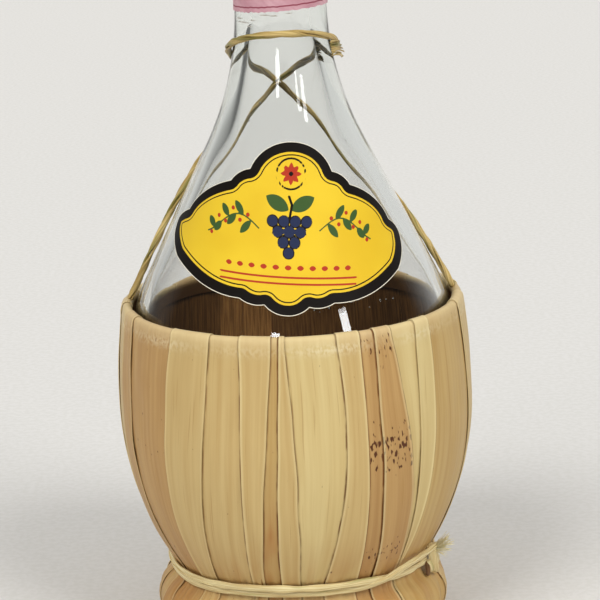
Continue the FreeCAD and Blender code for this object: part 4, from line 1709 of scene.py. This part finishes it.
    @cached_property
    def path(self) -> Trace:
        """The strips' inner face from the tuck under the foot to the end of the leg."""
        radius = self.flask.belly_radius + self.gap
        drop = radius - self.hoop_centre[0]
        rise = self.hoop_height - self.belly_height
        upper_arc = (drop**2 + rise**2 - self.fold_radius**2) / (2 * (drop - self.fold_radius))
        upper = np.array([radius - upper_arc, self.belly_height])
        lower = np.array([radius - self.lower_arc, self.belly_height])
        leg_angle = bearing(self.hoop_centre, self.flask.belly_centre) % FULL_TURN
        foot_angle = bearing(self.foot_centre, self.waist_centre)
        waist_angle = bearing(lower, self.waist_centre)
        leg_top = self.hoop_centre + self.fold_radius * unit(leg_angle)
        leg_end = leg_top + self.leg_length * unit(leg_angle + FULL_TURN / 4)
        foot_arc = self.foot_ring_radius + self.ply_gap
        runs = [
            Bend(self.foot_centre, foot_arc, self.tuck_angle, foot_angle),
            Bend(self.waist_centre, self.waist_arc, HALF_TURN + foot_angle, HALF_TURN + waist_angle),
            Bend(lower, self.lower_arc, waist_angle, 0),
            Bend(upper, upper_arc, 0, bearing(upper, self.hoop_centre)),
            Bend(self.hoop_centre, self.fold_radius, bearing(upper, self.hoop_centre), leg_angle),
            Straight(leg_top, leg_end),
        ]
        return trace(runs, [1.2 * MM, 0.8 * MM, 1.5 * MM, 1.2 * MM, 0.3 * MM, 1.5 * MM])

    @cached_property
    def rim_along(self) -> float:
        """Length along the path to the top of the fold."""
        return float(self.path.along[np.argmax(self.path.points[:, 1])])

    @cached_property
    def waist_along(self) -> float:
        """Length along the path to the narrowest place of the waist."""
        radius, height = self.path.points.T
        between = (height >= self.foot_ring_height) & (height < self.belly_height)
        return float(self.path.along[between][np.argmin(radius[between])])

    @cached_property
    def seams(self) -> list[float]:
        """Azimuths between neighbouring strips."""
        widths = np.array(self.width_shares) * FULL_TURN / sum(self.width_shares)
        return [self.first_azimuth, *(self.first_azimuth + np.cumsum(widths))]

    def seam(self, number: int) -> Array:
        """Draw a seam, with its curve or lean and its wander.

        Args:
            number: Number of the seam, which is at the left of the strip of that number.

        Returns:
            Its azimuth at each place of the path.
        """
        turns, index = divmod(number, len(self.width_shares))
        top, middle, low = self.seam_heights
        height = np.clip(self.path.points[:, 1] / MM, low, top)
        wander = turns * FULL_TURN + self.seam_wander * Uneven(100 + index, 30 * MM)(self.path.along)
        if index < len(self.drawn_seams):
            return np.polyval(np.polyfit(self.seam_heights, self.drawn_seams[index], 2), height) + wander
        lean = np.random.default_rng(200 + index).uniform(-self.most_lean, self.most_lean)
        return self.seams[index] + lean * (height - middle) / (top - low) + wander

    def lap(self, number: int, beside: int) -> Array:
        """How far a strip reaches under the neighbour between two seams, at each place of the path."""
        return np.minimum(self.lap_angle, 0.45 * np.abs(self.seam(number) - self.seam(beside)))

    def relief(self, number: int, ply: Ply, across: Array, along: Array, width: float) -> Array:
        """How far a strip stands off its path.

        Args:
            number: Number of the strip, from 0.
            ply: Its layer.
            across: Shares across the strip.
            along: Lengths along the path.
            width: Rough width of the strip.

        Returns:
            Stand-off of the strip's middle face at each vertex.
        """
        seed = 300 + 10 * number
        shown = eased((self.rim_along + 1.2 * MM - along) / (4 * MM))
        place = across * width
        curl = self.curls[ply.value] * np.abs(2 * across - 1) ** 8
        wave = self.wave.at(seed, place, along) + self.fibre_wave.at(seed + 1, place, along)
        if ply is Ply.OVER:
            wave = np.maximum(wave, self.over_dip)
        else:
            wave = np.minimum(wave, self.under_rise)
        pucker = np.abs(self.puckers[ply.value].at(seed + 2, place, along))
        pucker *= near(along, self.rim_along - 3.4 * MM, 2.6 * MM)
        gather = self.gather.at(seed + 3, place, along) * near(along, self.waist_along, 9 * MM)
        flare = self.flare.height + self.flare.at(seed + 4, place, along)
        flare *= eased((self.waist_along - 6 * MM - along) / (9 * MM))
        return self.offs[ply.value] + shown * (curl + wave + pucker + gather + flare)

    def build(self) -> None:
        """Lay every strip and dress it."""
        husks = {tone.name[0]: DriedHusk(tone).make() for tone in HuskTone}
        brown, lit_husk = SHADED_INNER_HUSK.make(), LIT_INNER_HUSK.make()
        first, last = self.lit_inside_span
        for number, letter in enumerate(self.tones):
            # Painted light: leaves at the back get the lighter inner face; the rest get the darker one,
            # as painted shade.
            inside = lit_husk if first < self.seams[number] < last else brown
            piece = self.strip(number, husks[letter], inside)
            seat(piece, "husk", f"husk_strip_{number + 1:02d}", angle=45)

    def strip(self, number: int, husk: Finish, inside: Finish) -> Piece:
        """Lay one strip and dress it.

        Args:
            number: Number of the strip, from 0.
            husk: Finish of its outer face.
            inside: Finish of its inner face.

        Returns:
            The strip with its thickness and its notes for the finish.
        """
        ply = Ply(number % 2)
        left, right = self.seam(number), self.seam(number + 1)
        if ply is Ply.UNDER:
            left = left - self.lap(number, number - 1)
            right = right + self.lap(number + 1, number + 2)
        girth = math.radians(float(np.mean(right - left))) * (self.flask.belly_radius + self.gap)
        rows = len(self.path.along) - 1
        columns = max(6, math.ceil(girth / self.column_width))
        draw = np.random.default_rng(400 + number)
        trim = draw.uniform(0, 3.0 * MM)
        skip = draw.uniform(0, 0.4) + number * 0.31

        def azimuth_at(across: Array, row: Array) -> Array:
            """Azimuths at shares across the strip and rows of the path."""
            return left[row] + (right[row] - left[row]) * across

        def place(across: Array, along: Array) -> Array:
            """Points across the strip and along the path."""
            row = row_at(along, rows)
            off = self.relief(number, ply, across, self.path.along[row], girth)
            spot = self.path.points[row] + self.path.normals[row] * off[:, None]
            return around(azimuth_at(across, row), spot[:, 0], np.maximum(spot[:, 1], 0.1 * MM))

        lengths = Lengths(girth, self.path.along + trim, skip)
        piece = laid_sheet(f"husk_{number + 1:02d}", columns, rows, place, lengths)
        across = np.tile(np.linspace(0, 1, columns + 1), rows + 1)
        row = np.repeat(np.arange(rows + 1), columns + 1)
        self.note_marks(piece, number, across, row, azimuth_at(across, row))
        dress(piece, husk, inside)
        thicken(piece, self.leaf, inner_slot=1)
        return piece

    def note_marks(self, piece: Piece, number: int, across: Array, row: Array, azimuth: Array) -> None:
        """Write where a strip gets its seam line with painted shadow, painted edge and fold highlights,
        scuffs with painted highlight, painted shade on the leg, stains and flecks.

        Args:
            piece: The strip.
            number: Its number, from 0.
            across: Share across it, at each vertex.
            row: Row of the path, at each vertex.
            azimuth: Azimuth of each vertex.
        """
        under = Ply(number % 2) is Ply.UNDER
        gaps = (azimuth - self.seam(number)[row], self.seam(number + 1)[row] - azimuth)
        shares = dict(enumerate(self.seam_shares))
        beside = [shares.get(seam, self.usual_share) for seam in (number, number + 1)]
        strength = np.where(gaps[0] < gaps[1], *beside)
        along, (radius, height) = self.path.along[row], self.path.points[row].T
        # How strong the scuffs and their painted highlight are round the basket.
        scuff_patchiness = np.clip(0.55 + 0.45 * Uneven(95, 34.0)(azimuth), 0, 1)
        stain = 0.5 * eased((52 * MM - height) / (34 * MM))
        middle = near(height, 40 * MM, 22 * MM) * (1 - np.abs(2 * across - 1))
        patches = sum(
            share * near(height, level * MM, reach * MM) for level, reach, share in self.fleck_bands
        )
        marks = {
            Mark.SEAM: np.radians(np.minimum(*gaps)) * radius,
            # Under strips get the seam line with its painted shadow; over strips don't.
            Mark.LINE: strength if under else 0 * strength,
            # Over strips get the painted highlight along their edges; under strips don't.
            Mark.PALE: 0 * strength if under else strength,
            # Where the fold's painted highlight lies.
            Mark.FOLD: near(along, self.rim_along - 0.4 * MM, 2.6 * MM),
            Mark.SCUFF: scuff_patchiness * near(along, self.rim_along - 4.6 * MM, 1.7 * MM),
            # Where the leg inside the rim gets its painted shade.
            Mark.LEG: eased((along - self.rim_along - 1.6 * MM) / (1.2 * MM)),
            Mark.STAIN: np.clip(stain + self.stained.get(number, 0) * middle, 0, 0.9),
            Mark.FLECKS: self.flecked.get(number, 0) * np.clip(patches, 0, 1),
        }
        for mark, values in marks.items():
            note(piece, mark.value, values)


@dataclass
class FootRing:
    """The ring that the flask stands in: straw stalks twisted round a core."""

    radius: float
    height: float
    section_radius: float = 10.45 * MM
    stalks: int = 23
    stalk_radius: float = 1.32 * MM
    twists: int = 3
    stalk_sides: int = 9
    core_sides: int = 24
    core_gap: float = 0.4 * MM
    merge: float = 0.01 * MM
    rows: int = 220

    def build(self) -> None:
        """Lay the stalks and the core, flatten them on the floor and dress them."""
        azimuth = np.linspace(0, FULL_TURN, self.rows + 1)
        ones = np.ones(self.rows + 1)
        middle = around(azimuth, self.radius * ones, self.height * ones)
        down = np.tile([0.0, 0.0, -1.0], (self.rows + 1, 1))
        lay = Lay(middle, around(azimuth, ones, 0 * ones), down, np.radians(azimuth) * self.radius)
        reach = self.section_radius - self.stalk_radius

        def core(across: Array, along: Array) -> Array:
            """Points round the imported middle, seen only between the stalks."""
            row = row_at(along, self.rows)
            return lay.points[row] + (reach - self.core_gap) * lay.turned(row, math.tau * across)[0]

        made = [self.stalk(number, lay, reach) for number in range(self.stalks)]
        lengths = Lengths(math.tau * reach, lay.along)
        made.append(laid_sheet("stalk_core", self.core_sides, self.rows, core, lengths))
        for piece in made:
            close_up(piece, self.merge)
        piece = joined("foot_straw", made)
        places = vertex_places(piece)
        places[:, 2] = np.maximum(places[:, 2], 0)
        move_vertices(piece, places)
        seat(piece, "straw", "foot_ring", STRAW_STALK.make(), angle=50)

    def stalk(self, number: int, lay: Lay, reach: float) -> Piece:
        """Lay one stalk that winds round the ring back to its start.

        Args:
            number: Number of the stalk, from 0.
            lay: Middle line of the ring.
            reach: How far the stalk lies from that line.

        Returns:
            The stalk, still open where it ends.
        """
        phase = math.radians(number * FULL_TURN / self.stalks)

        def place(across: Array, along: Array) -> Array:
            """Points round the stalk and along the ring."""
            row = row_at(along, self.rows)
            outward, sideways = lay.turned(row, phase + math.tau * self.twists * along)
            angle = math.tau * across
            size = self.stalk_radius * (1 + 0.06 * np.sin(math.tau * along * 5 + number))
            deep = reach - 0.3 * MM * (number % 3) / 2 + size * np.cos(angle)
            return lay.points[row] + outward * deep[:, None] + sideways * (size * np.sin(angle))[:, None]

        lengths = Lengths(math.tau * self.stalk_radius, lay.along, number * 9 * MM)
        return laid_sheet(f"stalk_{number}", self.stalk_sides, self.rows, place, lengths)


# Raffia


@dataclass
class NeckCord:
    """The raffia cord from rim to rim, crossed behind the neck and looped round its front."""

    flask: GlassFlask
    basket: HuskBasket
    radius: float = 1.05 * MM
    glass_gap: float = 0.25 * MM
    crossing_gap: float = 0.5 * MM
    spline_cut: float = 0.65 * MM
    end_lean: float = 28.0
    left_azimuth: float = -92.0
    right_azimuth: float = 93.0
    step: float = 0.9 * MM
    route: Rows = (
        (-94, 127, 0), (-98, 138, 0), (-105, 149, 0), (-115, 160, 0), (-129, 170, 0), (-147, 179, 0),
        (-170, 187, 0), (-195, 191.5, 0), (-222, 195.4, 0), (-246, 199.2, 0), (-270, 202.6, 0),
        (-300, 205.8, 0), (-330, 207.6, 0), (-360, 208.2, 0), (-390, 207.4, 0), (-420, 205.2, 0),
        (-450, 201.8, 0), (-474, 198, 0.15), (-500, 193, 0.7), (-530, 187, 1), (-554, 180, 0.7),
        (-571, 172, 0.15), (-584, 163, 0), (-596, 153, 0), (-608, 142, 0), (-618, 130, 0),
    )
    ply: Strand = Strand(2.1 * MM, 1.0 * MM, 0.52 * MM, 38 * MM, ridges=5, ridge_share=0.08)
    tail: Strand = Strand(
        1.1 * MM, 0.45 * MM, twist_length=30 * MM, ridges=3, ridge_share=0.06, sides=8, taper=0.5 * MM
    )
    tails: int = 7

    def end(self, azimuth: float) -> Array:
        """Place an end of the cord.

        Args:
            azimuth: Where on the rim it is.

        Returns:
            Two points, from the hoop upwards.
        """
        stop = self.basket.hoop_radius + self.glass_gap
        way = unit(self.end_lean + FULL_TURN / 4)
        pair = self.basket.hoop_centre + np.outer([stop, stop + 2 * self.radius], way)
        return around(azimuth, *pair.T)

    def build(self) -> None:
        """Lay two plies and a few loose fibres along the route and dress them."""
        layer = 2 * self.radius + self.crossing_gap
        seat_off = self.glass_gap + self.radius + self.spline_cut
        table = np.array(self.route)
        middle = self.flask.beside(table[:, 0], table[:, 1] * MM, seat_off + layer * table[:, 2])
        ends = self.end(self.left_azimuth), self.end(self.right_azimuth)
        points = np.concatenate([ends[0], middle, ends[1][::-1]])
        lay = Lay.through(points, self.step, (-1, 0, 0))
        made = [
            replace(self.ply, phase=phase, seed=50 + number).build(f"neck_ply_{number}", lay)
            for number, phase in enumerate((0.0, HALF_TURN))
        ]
        piece = joined("neck_raffia", made + self.splayed())
        seat(piece, "raffia", "neck_cord", OLIVE_RAFFIA.make())

    def splayed(self) -> list[Piece]:
        """The splayed fibre ends at the right of the front loop."""
        made = []
        draw = np.random.default_rng(61)
        for number in range(self.tails):
            height = 203.4 * MM - number * 0.75 * MM
            reach = draw.uniform(3.0, 6.0)
            off = np.array([1.6, 2.0, 2.3, 2.9 + 0.25 * number % 1.1]) * MM
            turn = np.array([62, 74, 84, 84 + reach * 3.2])
            drop = np.array([0, 0.2, 0.6, 1.3 + 0.28 * number]) * MM
            route = self.flask.beside(turn, height - drop, off)
            lay = Lay.through(route, 0.7 * MM, (1, 0, 0))
            strand = replace(self.tail, phase=40 * number, seed=62 + number)
            made.append(strand.build(f"neck_tail_{number}", lay))
        return made


@dataclass(frozen=True)
class KnotLoop:
    """A short strand of the knot, in mm: which way it faces, its size and its route.

    The route's points lie outwards, sideways and up from the knot's middle.
    """

    facing: Sizes
    width: float
    depth: float
    points: Rows


@dataclass
class WaistBinding:
    """The raffia cord wound twice round the waist, with its knot, frayed tuft and cut stub."""

    basket: HuskBasket
    cord_width: float = 2.4 * MM
    cord_depth: float = 1.15 * MM
    gap: float = 0.15 * MM
    turns: int = 2
    knot_azimuth: float = 73.0
    knot_off: float = 2.6 * MM
    start_angle: float = 5.0
    end_angle: float = 1.0
    lift_angle: float = 14.0
    lift: float = 0.4 * MM
    lane: float = 1.15 * MM
    cross_at: float = 310.0
    cross_angle: float = 20.0
    parted: float = 4.9 * MM
    skew: float = 1.7 * MM
    spline_cut: float = 0.3 * MM
    points_per_turn: int = 36
    step: float = 1.1 * MM
    fibres: int = 110
    tuft_length: float = 8.0
    loops: tuple[KnotLoop, ...] = (
        KnotLoop((0, 0, 1), 2.9, 1.2, (
            (-2.2, 1.6, 4.4), (-1.2, -0.4, 5.9), (-0.6, -1.9, 5.2), (-0.2, -2.4, 2.0), (0.3, -2.3, -1.4),
            (0.6, -1.4, -4.2), (-0.6, 0.8, -4.8),
        )),
        KnotLoop((0.35, -0.9, 0.2), 2.2, 1.3, (
            (-1.9, -4.4, 1.0), (-0.9, -4.3, 0.0), (-0.5, -3.6, -2.0), (-0.9, -2.4, -3.6),
            (-1.6, -0.8, -3.8),
        )),
        KnotLoop((0.8, -0.5, 0.4), 3.0, 1.6, (
            (-2.0, -2.6, 4.4), (-0.8, -0.4, 3.4), (0.4, 0.8, 0.8), (0.2, 1.8, -2.2), (-1.6, 2.0, -3.4),
        )),
        KnotLoop((0.35, -0.9, 0.2), 1.7, 1.0, (
            (-1.9, -4.6, 0.8), (-1.5, -5.0, -0.8), (-1.3, -5.2, -2.6), (-1.4, -5.4, -4.4),
        )),
    )

    def lying(self, azimuth: Array, rise: Array, off: Array) -> Array:
        """Lay points on the husk at the waist.

        Args:
            azimuth: Azimuths.
            rise: Heights above the waist.
            off: Stand-offs from the cord's seat.

        Returns:
            The points.
        """
        path = self.basket.path
        height = path.points[:, 1]
        shown = (height > self.basket.foot_ring_height) & (height < self.basket.belly_height)
        normals = path.normals[shown]
        stand_off = self.basket.stack + self.gap + self.cord_depth / 2 + self.spline_cut
        seats = path.points[shown] + stand_off * normals
        level = self.basket.waist_centre[1] + rise
        spot, way = (
            [np.interp(level, seats[:, 1], table[:, axis]) for axis in (0, 1)]
            for table in (seats, normals)
        )
        return around(azimuth, spot[0] + off * way[0], spot[1] + off * way[1])

    @cached_property
    def knot_place(self) -> Array:
        """Radius and height of the knot's middle."""
        spot = self.lying(0.0, 0.0, self.knot_off)
        return np.array([-spot[1], spot[2]])

    def build(self) -> None:
        """Wind the cord, which crosses itself short of the knot, tie the knot and dress both."""
        whole = self.turns * FULL_TURN - self.start_angle + self.end_angle
        turned = np.linspace(0, whole, self.turns * self.points_per_turn + 1)
        azimuth = self.knot_azimuth + self.start_angle + turned
        beside = (azimuth + HALF_TURN) % FULL_TURN - HALF_TURN
        under = eased((turned - self.cross_at) / self.cross_angle)
        over = eased((turned - self.cross_at - FULL_TURN) / self.cross_angle)
        askew = 0.7 * MM + self.skew * eased((beside + 50) / 35) * (1 - eased((beside - 60) / 40))
        rise = askew + self.lane * (1 - 2 * under) + self.parted * over
        rise += 0.15 * MM * Uneven(71, 70.0)(turned)
        lifted = eased(1 - turned / self.lift_angle) + eased(1 - (whole - turned) / self.lift_angle)
        off = self.lift * lifted + 1.0 * MM * near(turned, self.cross_at + FULL_TURN + 8, 10)
        lay = Lay.through(self.lying(azimuth, rise, off), self.step, (0, 0, 1))
        cord = Strand(
            self.cord_width, self.cord_depth, twist_length=40.0, phase=90.0, ridges=6, ridge_share=0.05,
            seed=72, sides=22,
        )
        thread = Strand(
            0.9 * MM, 0.6 * MM, 0.75 * MM, 210 * MM, phase=200.0, ridges=3, ridge_share=0.05,
            seed=74, sides=10,
        )
        made = [cord.build("waist_cord", lay), thread.build("waist_thread", lay)]
        piece = joined("waist_raffia", made)
        raffia = PALE_RAFFIA.make()
        seat(piece, "raffia", "waist_binding", raffia)
        self.build_knot(raffia)

    def local(self, points: Sequence[Sequence[float]]) -> Array:
        """Place points of the knot.

        Args:
            points: Points in mm outwards, sideways and up from its middle.

        Returns:
            Their places.
        """
        out, side = (around(self.knot_azimuth + turn, 1.0, 0.0) for turn in (0, FULL_TURN / 4))
        middle = around(self.knot_azimuth, *self.knot_place)
        return middle + np.array(points) * MM @ np.array([out, side, [0, 0, 1]])

    def build_knot(self, raffia: Finish) -> None:
        """Tie the knot from a few short strands and dress it.

        Args:
            raffia: Material of the binding.
        """
        browned, frayed = BROWNED_RAFFIA.make(), FRAYED_RAFFIA.make()
        made = []
        for number, loop in enumerate(self.loops):
            lay = Lay.through(self.local(loop.points), 0.5 * MM, loop.facing)
            strand = Strand(
                loop.width * MM, loop.depth * MM, twist_length=900 * MM, ridges=6, ridge_share=0.06,
                seed=80 + number,
            )
            made.append(strand.build(f"knot_loop_{number}", lay))
            dress(made[-1], browned if loop is self.loops[-1] else raffia)
        fibres = self.tuft()
        for fibre in fibres:
            dress(fibre, frayed)
        piece = joined("knot_raffia", made + fibres)
        seat(piece, "raffia", "binding_knot")

    def tuft(self) -> list[Piece]:
        """The frayed end: many fine fibres that fan out of the knot."""
        draw = np.random.default_rng(91)
        made = []
        for number in range(self.fibres):
            spread = draw.normal(0, 0.34, 2)
            length = self.tuft_length * draw.uniform(0.5, 1.05)
            way = np.array([0.8, 0.2 + spread[0], 0.36 + spread[1]])
            reach = way / np.linalg.norm(way) * length
            root = np.array([-0.4, -1.0 + 0.6 * spread[0], 4.2 + 0.8 * spread[1]])
            sag = np.array([0, 0.4, -0.8]) * draw.uniform(-0.8, 1.4)
            bends = ((0, 0), (0.4, 0), (0.75, 0.3), (1, 1))
            route = [root + share * reach + fall * sag for share, fall in bends]
            lay = Lay.through(self.local(route), 1.4 * MM, (0.3, 0.2, 0.9))
            size = draw.uniform(0.14, 0.3) * MM
            strand = Strand(
                size, size * 0.7, twist_length=40 * MM, ridges=2, ridge_share=0.05, seed=92 + number,
                sides=5, taper=0.5 * MM,
            )
            made.append(strand.build(f"tuft_{number}", lay))
        return made


# Studio


@dataclass(frozen=True)
class Sun:
    """A soft sun: where it shines from, as azimuth and elevation, and its strength."""

    azimuth: float
    rise: float
    energy: float


@dataclass(frozen=True)
class Pane:
    """A bright pane that only the gloss of the glass shows: its name, place, size and power."""

    name: str
    azimuth: float
    rise: float
    distance: float
    width: float
    height: float
    energy: float


@dataclass
class Studio:
    """Plain pale floor, soft light from both sides of the camera, and the camera."""

    target_height: float = 114 * MM
    distance: float = 820 * MM
    elevation: float = 14.3
    roll: float = 2.25
    lens: float = 143.2
    shift: float = 8 / 600
    floor_reach: float = 7.0
    background: str = "#DBDAD7"
    ambient: float = 0.5
    dim_way: Sizes = (0.0, -1.0, 0.0)
    dim_level: float = 0.06
    flag_way: Sizes = (-1.0, 0.0, 0.0)
    flag_share: float = 0.85
    sun_angle: float = 26.0
    suns: tuple[Sun, ...] = (Sun(-38.0, 46.0, 1.34), Sun(44.0, 40.0, 1.42))
    panes: tuple[Pane, ...] = (
        Pane("front_pane", -13.0, 19.8, 1.24, 0.13, 0.28, 1.2),
        Pane("right_pane", 39.5, 25.0, 1.245, 0.12, 0.31, 1.25),
    )
    bounces: int = 24

    def build(self) -> None:
        """Set up the floor, the world, the lamps and the camera."""
        self.floor()
        self.world()
        self.lamps()
        self.camera()
        scene = bpy.context.scene
        scene.view_settings.view_transform = "Standard"
        scene.cycles.max_bounces = scene.cycles.transmission_bounces = self.bounces
        scene.cycles.caustics_refractive = scene.cycles.caustics_reflective = False

    def floor(self) -> None:
        """A wide, flat floor."""
        clear_selection()
        bpy.ops.mesh.primitive_plane_add(size=2 * self.floor_reach)
        floor = named("studio_floor")
        bpy.ops.object.mode_set(mode="EDIT")
        bpy.ops.mesh.select_all(action="SELECT")
        bpy.ops.mesh.subdivide(number_cuts=6)
        bpy.ops.object.mode_set(mode="OBJECT")
        dress(floor, STUDIO_PAINT.make())
        floor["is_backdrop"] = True

    def world(self) -> None:
        """Even light all round, and what is seen there: a pale wall, a dim room and a dark flag."""
        world = bpy.data.worlds.new("studio_world")
        bpy.context.scene.world = world
        wiring = Wiring(world)
        wire = wiring.wire
        rays = wiring.add("LightPath").outputs
        look = wire("TexCoord", out="Generated")
        seen = rays["Is Camera Ray"]
        for ray in ("Is Glossy Ray", "Is Transmission Ray"):
            seen = wire("Math", (seen, rays[ray]), operation="MAXIMUM")
        mirrored = wire("Math", (rays["Glossy Depth"], 1.0), operation="MINIMUM")
        indirect = wire("Math", (self.flag_share, rays["Is Camera Ray"]), operation="SUBTRACT")
        dims = []
        for share, way, low, high in (
            (mirrored, self.dim_way, -0.65, -0.25), (indirect, self.flag_way, 0.45, 0.75)
        ):
            ahead = wire("VectorMath", (look, way), "Value", operation="DOT_PRODUCT")
            turned = wire("MapRange", (ahead, low, high))
            dims.append(wire("Math", (share, turned), operation="MULTIPLY"))
        dim = wire("Math", dims, operation="MAXIMUM")
        level = wire("Math", (dim, self.dim_level - 1, 1.0), operation="MULTIPLY_ADD")
        light = wire("Background", ((1, 1, 1, 1), self.ambient))
        wall = wire("Background", (self.background, level))
        wiring.add("OutputWorld", (wire("MixShader", (seen, light, wall)),))

    def lamps(self) -> None:
        """A soft sun from each side of the camera and two bright panes for the glass's gloss."""
        for number, sun in enumerate(self.suns):
            light = bpy.data.lights.new(f"soft_sun_{number}", "SUN")
            light.energy = sun.energy
            light.angle = math.radians(self.sun_angle)
            lamp = self.place(light, sun.azimuth, sun.rise, 1.0)
            lamp.visible_glossy = lamp.visible_transmission = False
        for pane in self.panes:
            light = bpy.data.lights.new(pane.name, "AREA")
            light.shape = "RECTANGLE"
            light.size, light.size_y = pane.width, pane.height
            light.energy = pane.energy
            lamp = self.place(light, pane.azimuth, pane.rise, pane.distance)
            lamp.visible_camera = lamp.visible_diffuse = False

    def place(
        self, data: bpy.types.ID, azimuth: float, rise: float, distance: float, roll: float = 0.0
    ) -> Piece:
        """Put a lamp or the camera round the flask, aimed at it.

        Args:
            data: Its light or camera, whose name it takes.
            azimuth: Where it stands round the flask.
            rise: Its elevation.
            distance: Its distance.
            roll: Its turn about its own view.

        Returns:
            The lamp or camera.
        """
        placed = bpy.data.objects.new(data.name, data)
        bpy.context.scene.collection.objects.link(placed)
        away = Vector(around(azimuth, *unit(rise)))
        placed.location = Vector((0, 0, self.target_height)) + away * distance
        rolled = Quaternion((0, 0, 1), math.radians(-roll))
        placed.rotation_euler = ((-away).to_track_quat("-Z", "Y") @ rolled).to_euler()
        return placed

    def camera(self) -> None:
        """The camera at the photograph's viewing angle."""
        data = bpy.data.cameras.new("view")
        data.sensor_width = 36
        data.lens = self.lens
        data.shift_x = self.shift
        bpy.context.scene.camera = self.place(data, 0.0, self.elevation, self.distance, self.roll)


def dress_hoop() -> None:
    """Dress the hidden hoop, whose own shape is right."""
    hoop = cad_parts["rim_hoop"]
    dress(hoop, CANE_HOOP.make())
    log.info("rim_hoop: dressed")


def write_sizes() -> None:
    """Gather the part's box and the dressed box as lists of corners; nothing is written or kept."""
    boxes = {"cad": CAD_BOX, "visual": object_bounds()}
    {name: [list(corner) for corner in box] for name, box in boxes.items()}


def main() -> None:
    """Build the flask piece by piece, then the studio round it."""
    logging.basicConfig(level=logging.INFO, format="%(message)s")
    flask = GlassFlask()
    basket = HuskBasket(flask)
    flask.build()
    CorkStopper(flask.mouth_height).build()
    FrontLabel(flask).build()
    NeckSeal(flask).build()
    basket.build()
    dress_hoop()
    FootRing(float(basket.foot_centre[0]), basket.foot_ring_height).build()
    NeckCord(flask, basket).build()
    WaistBinding(basket).build()
    Studio().build()
    write_sizes()


if __name__ == "__main__":
    main()
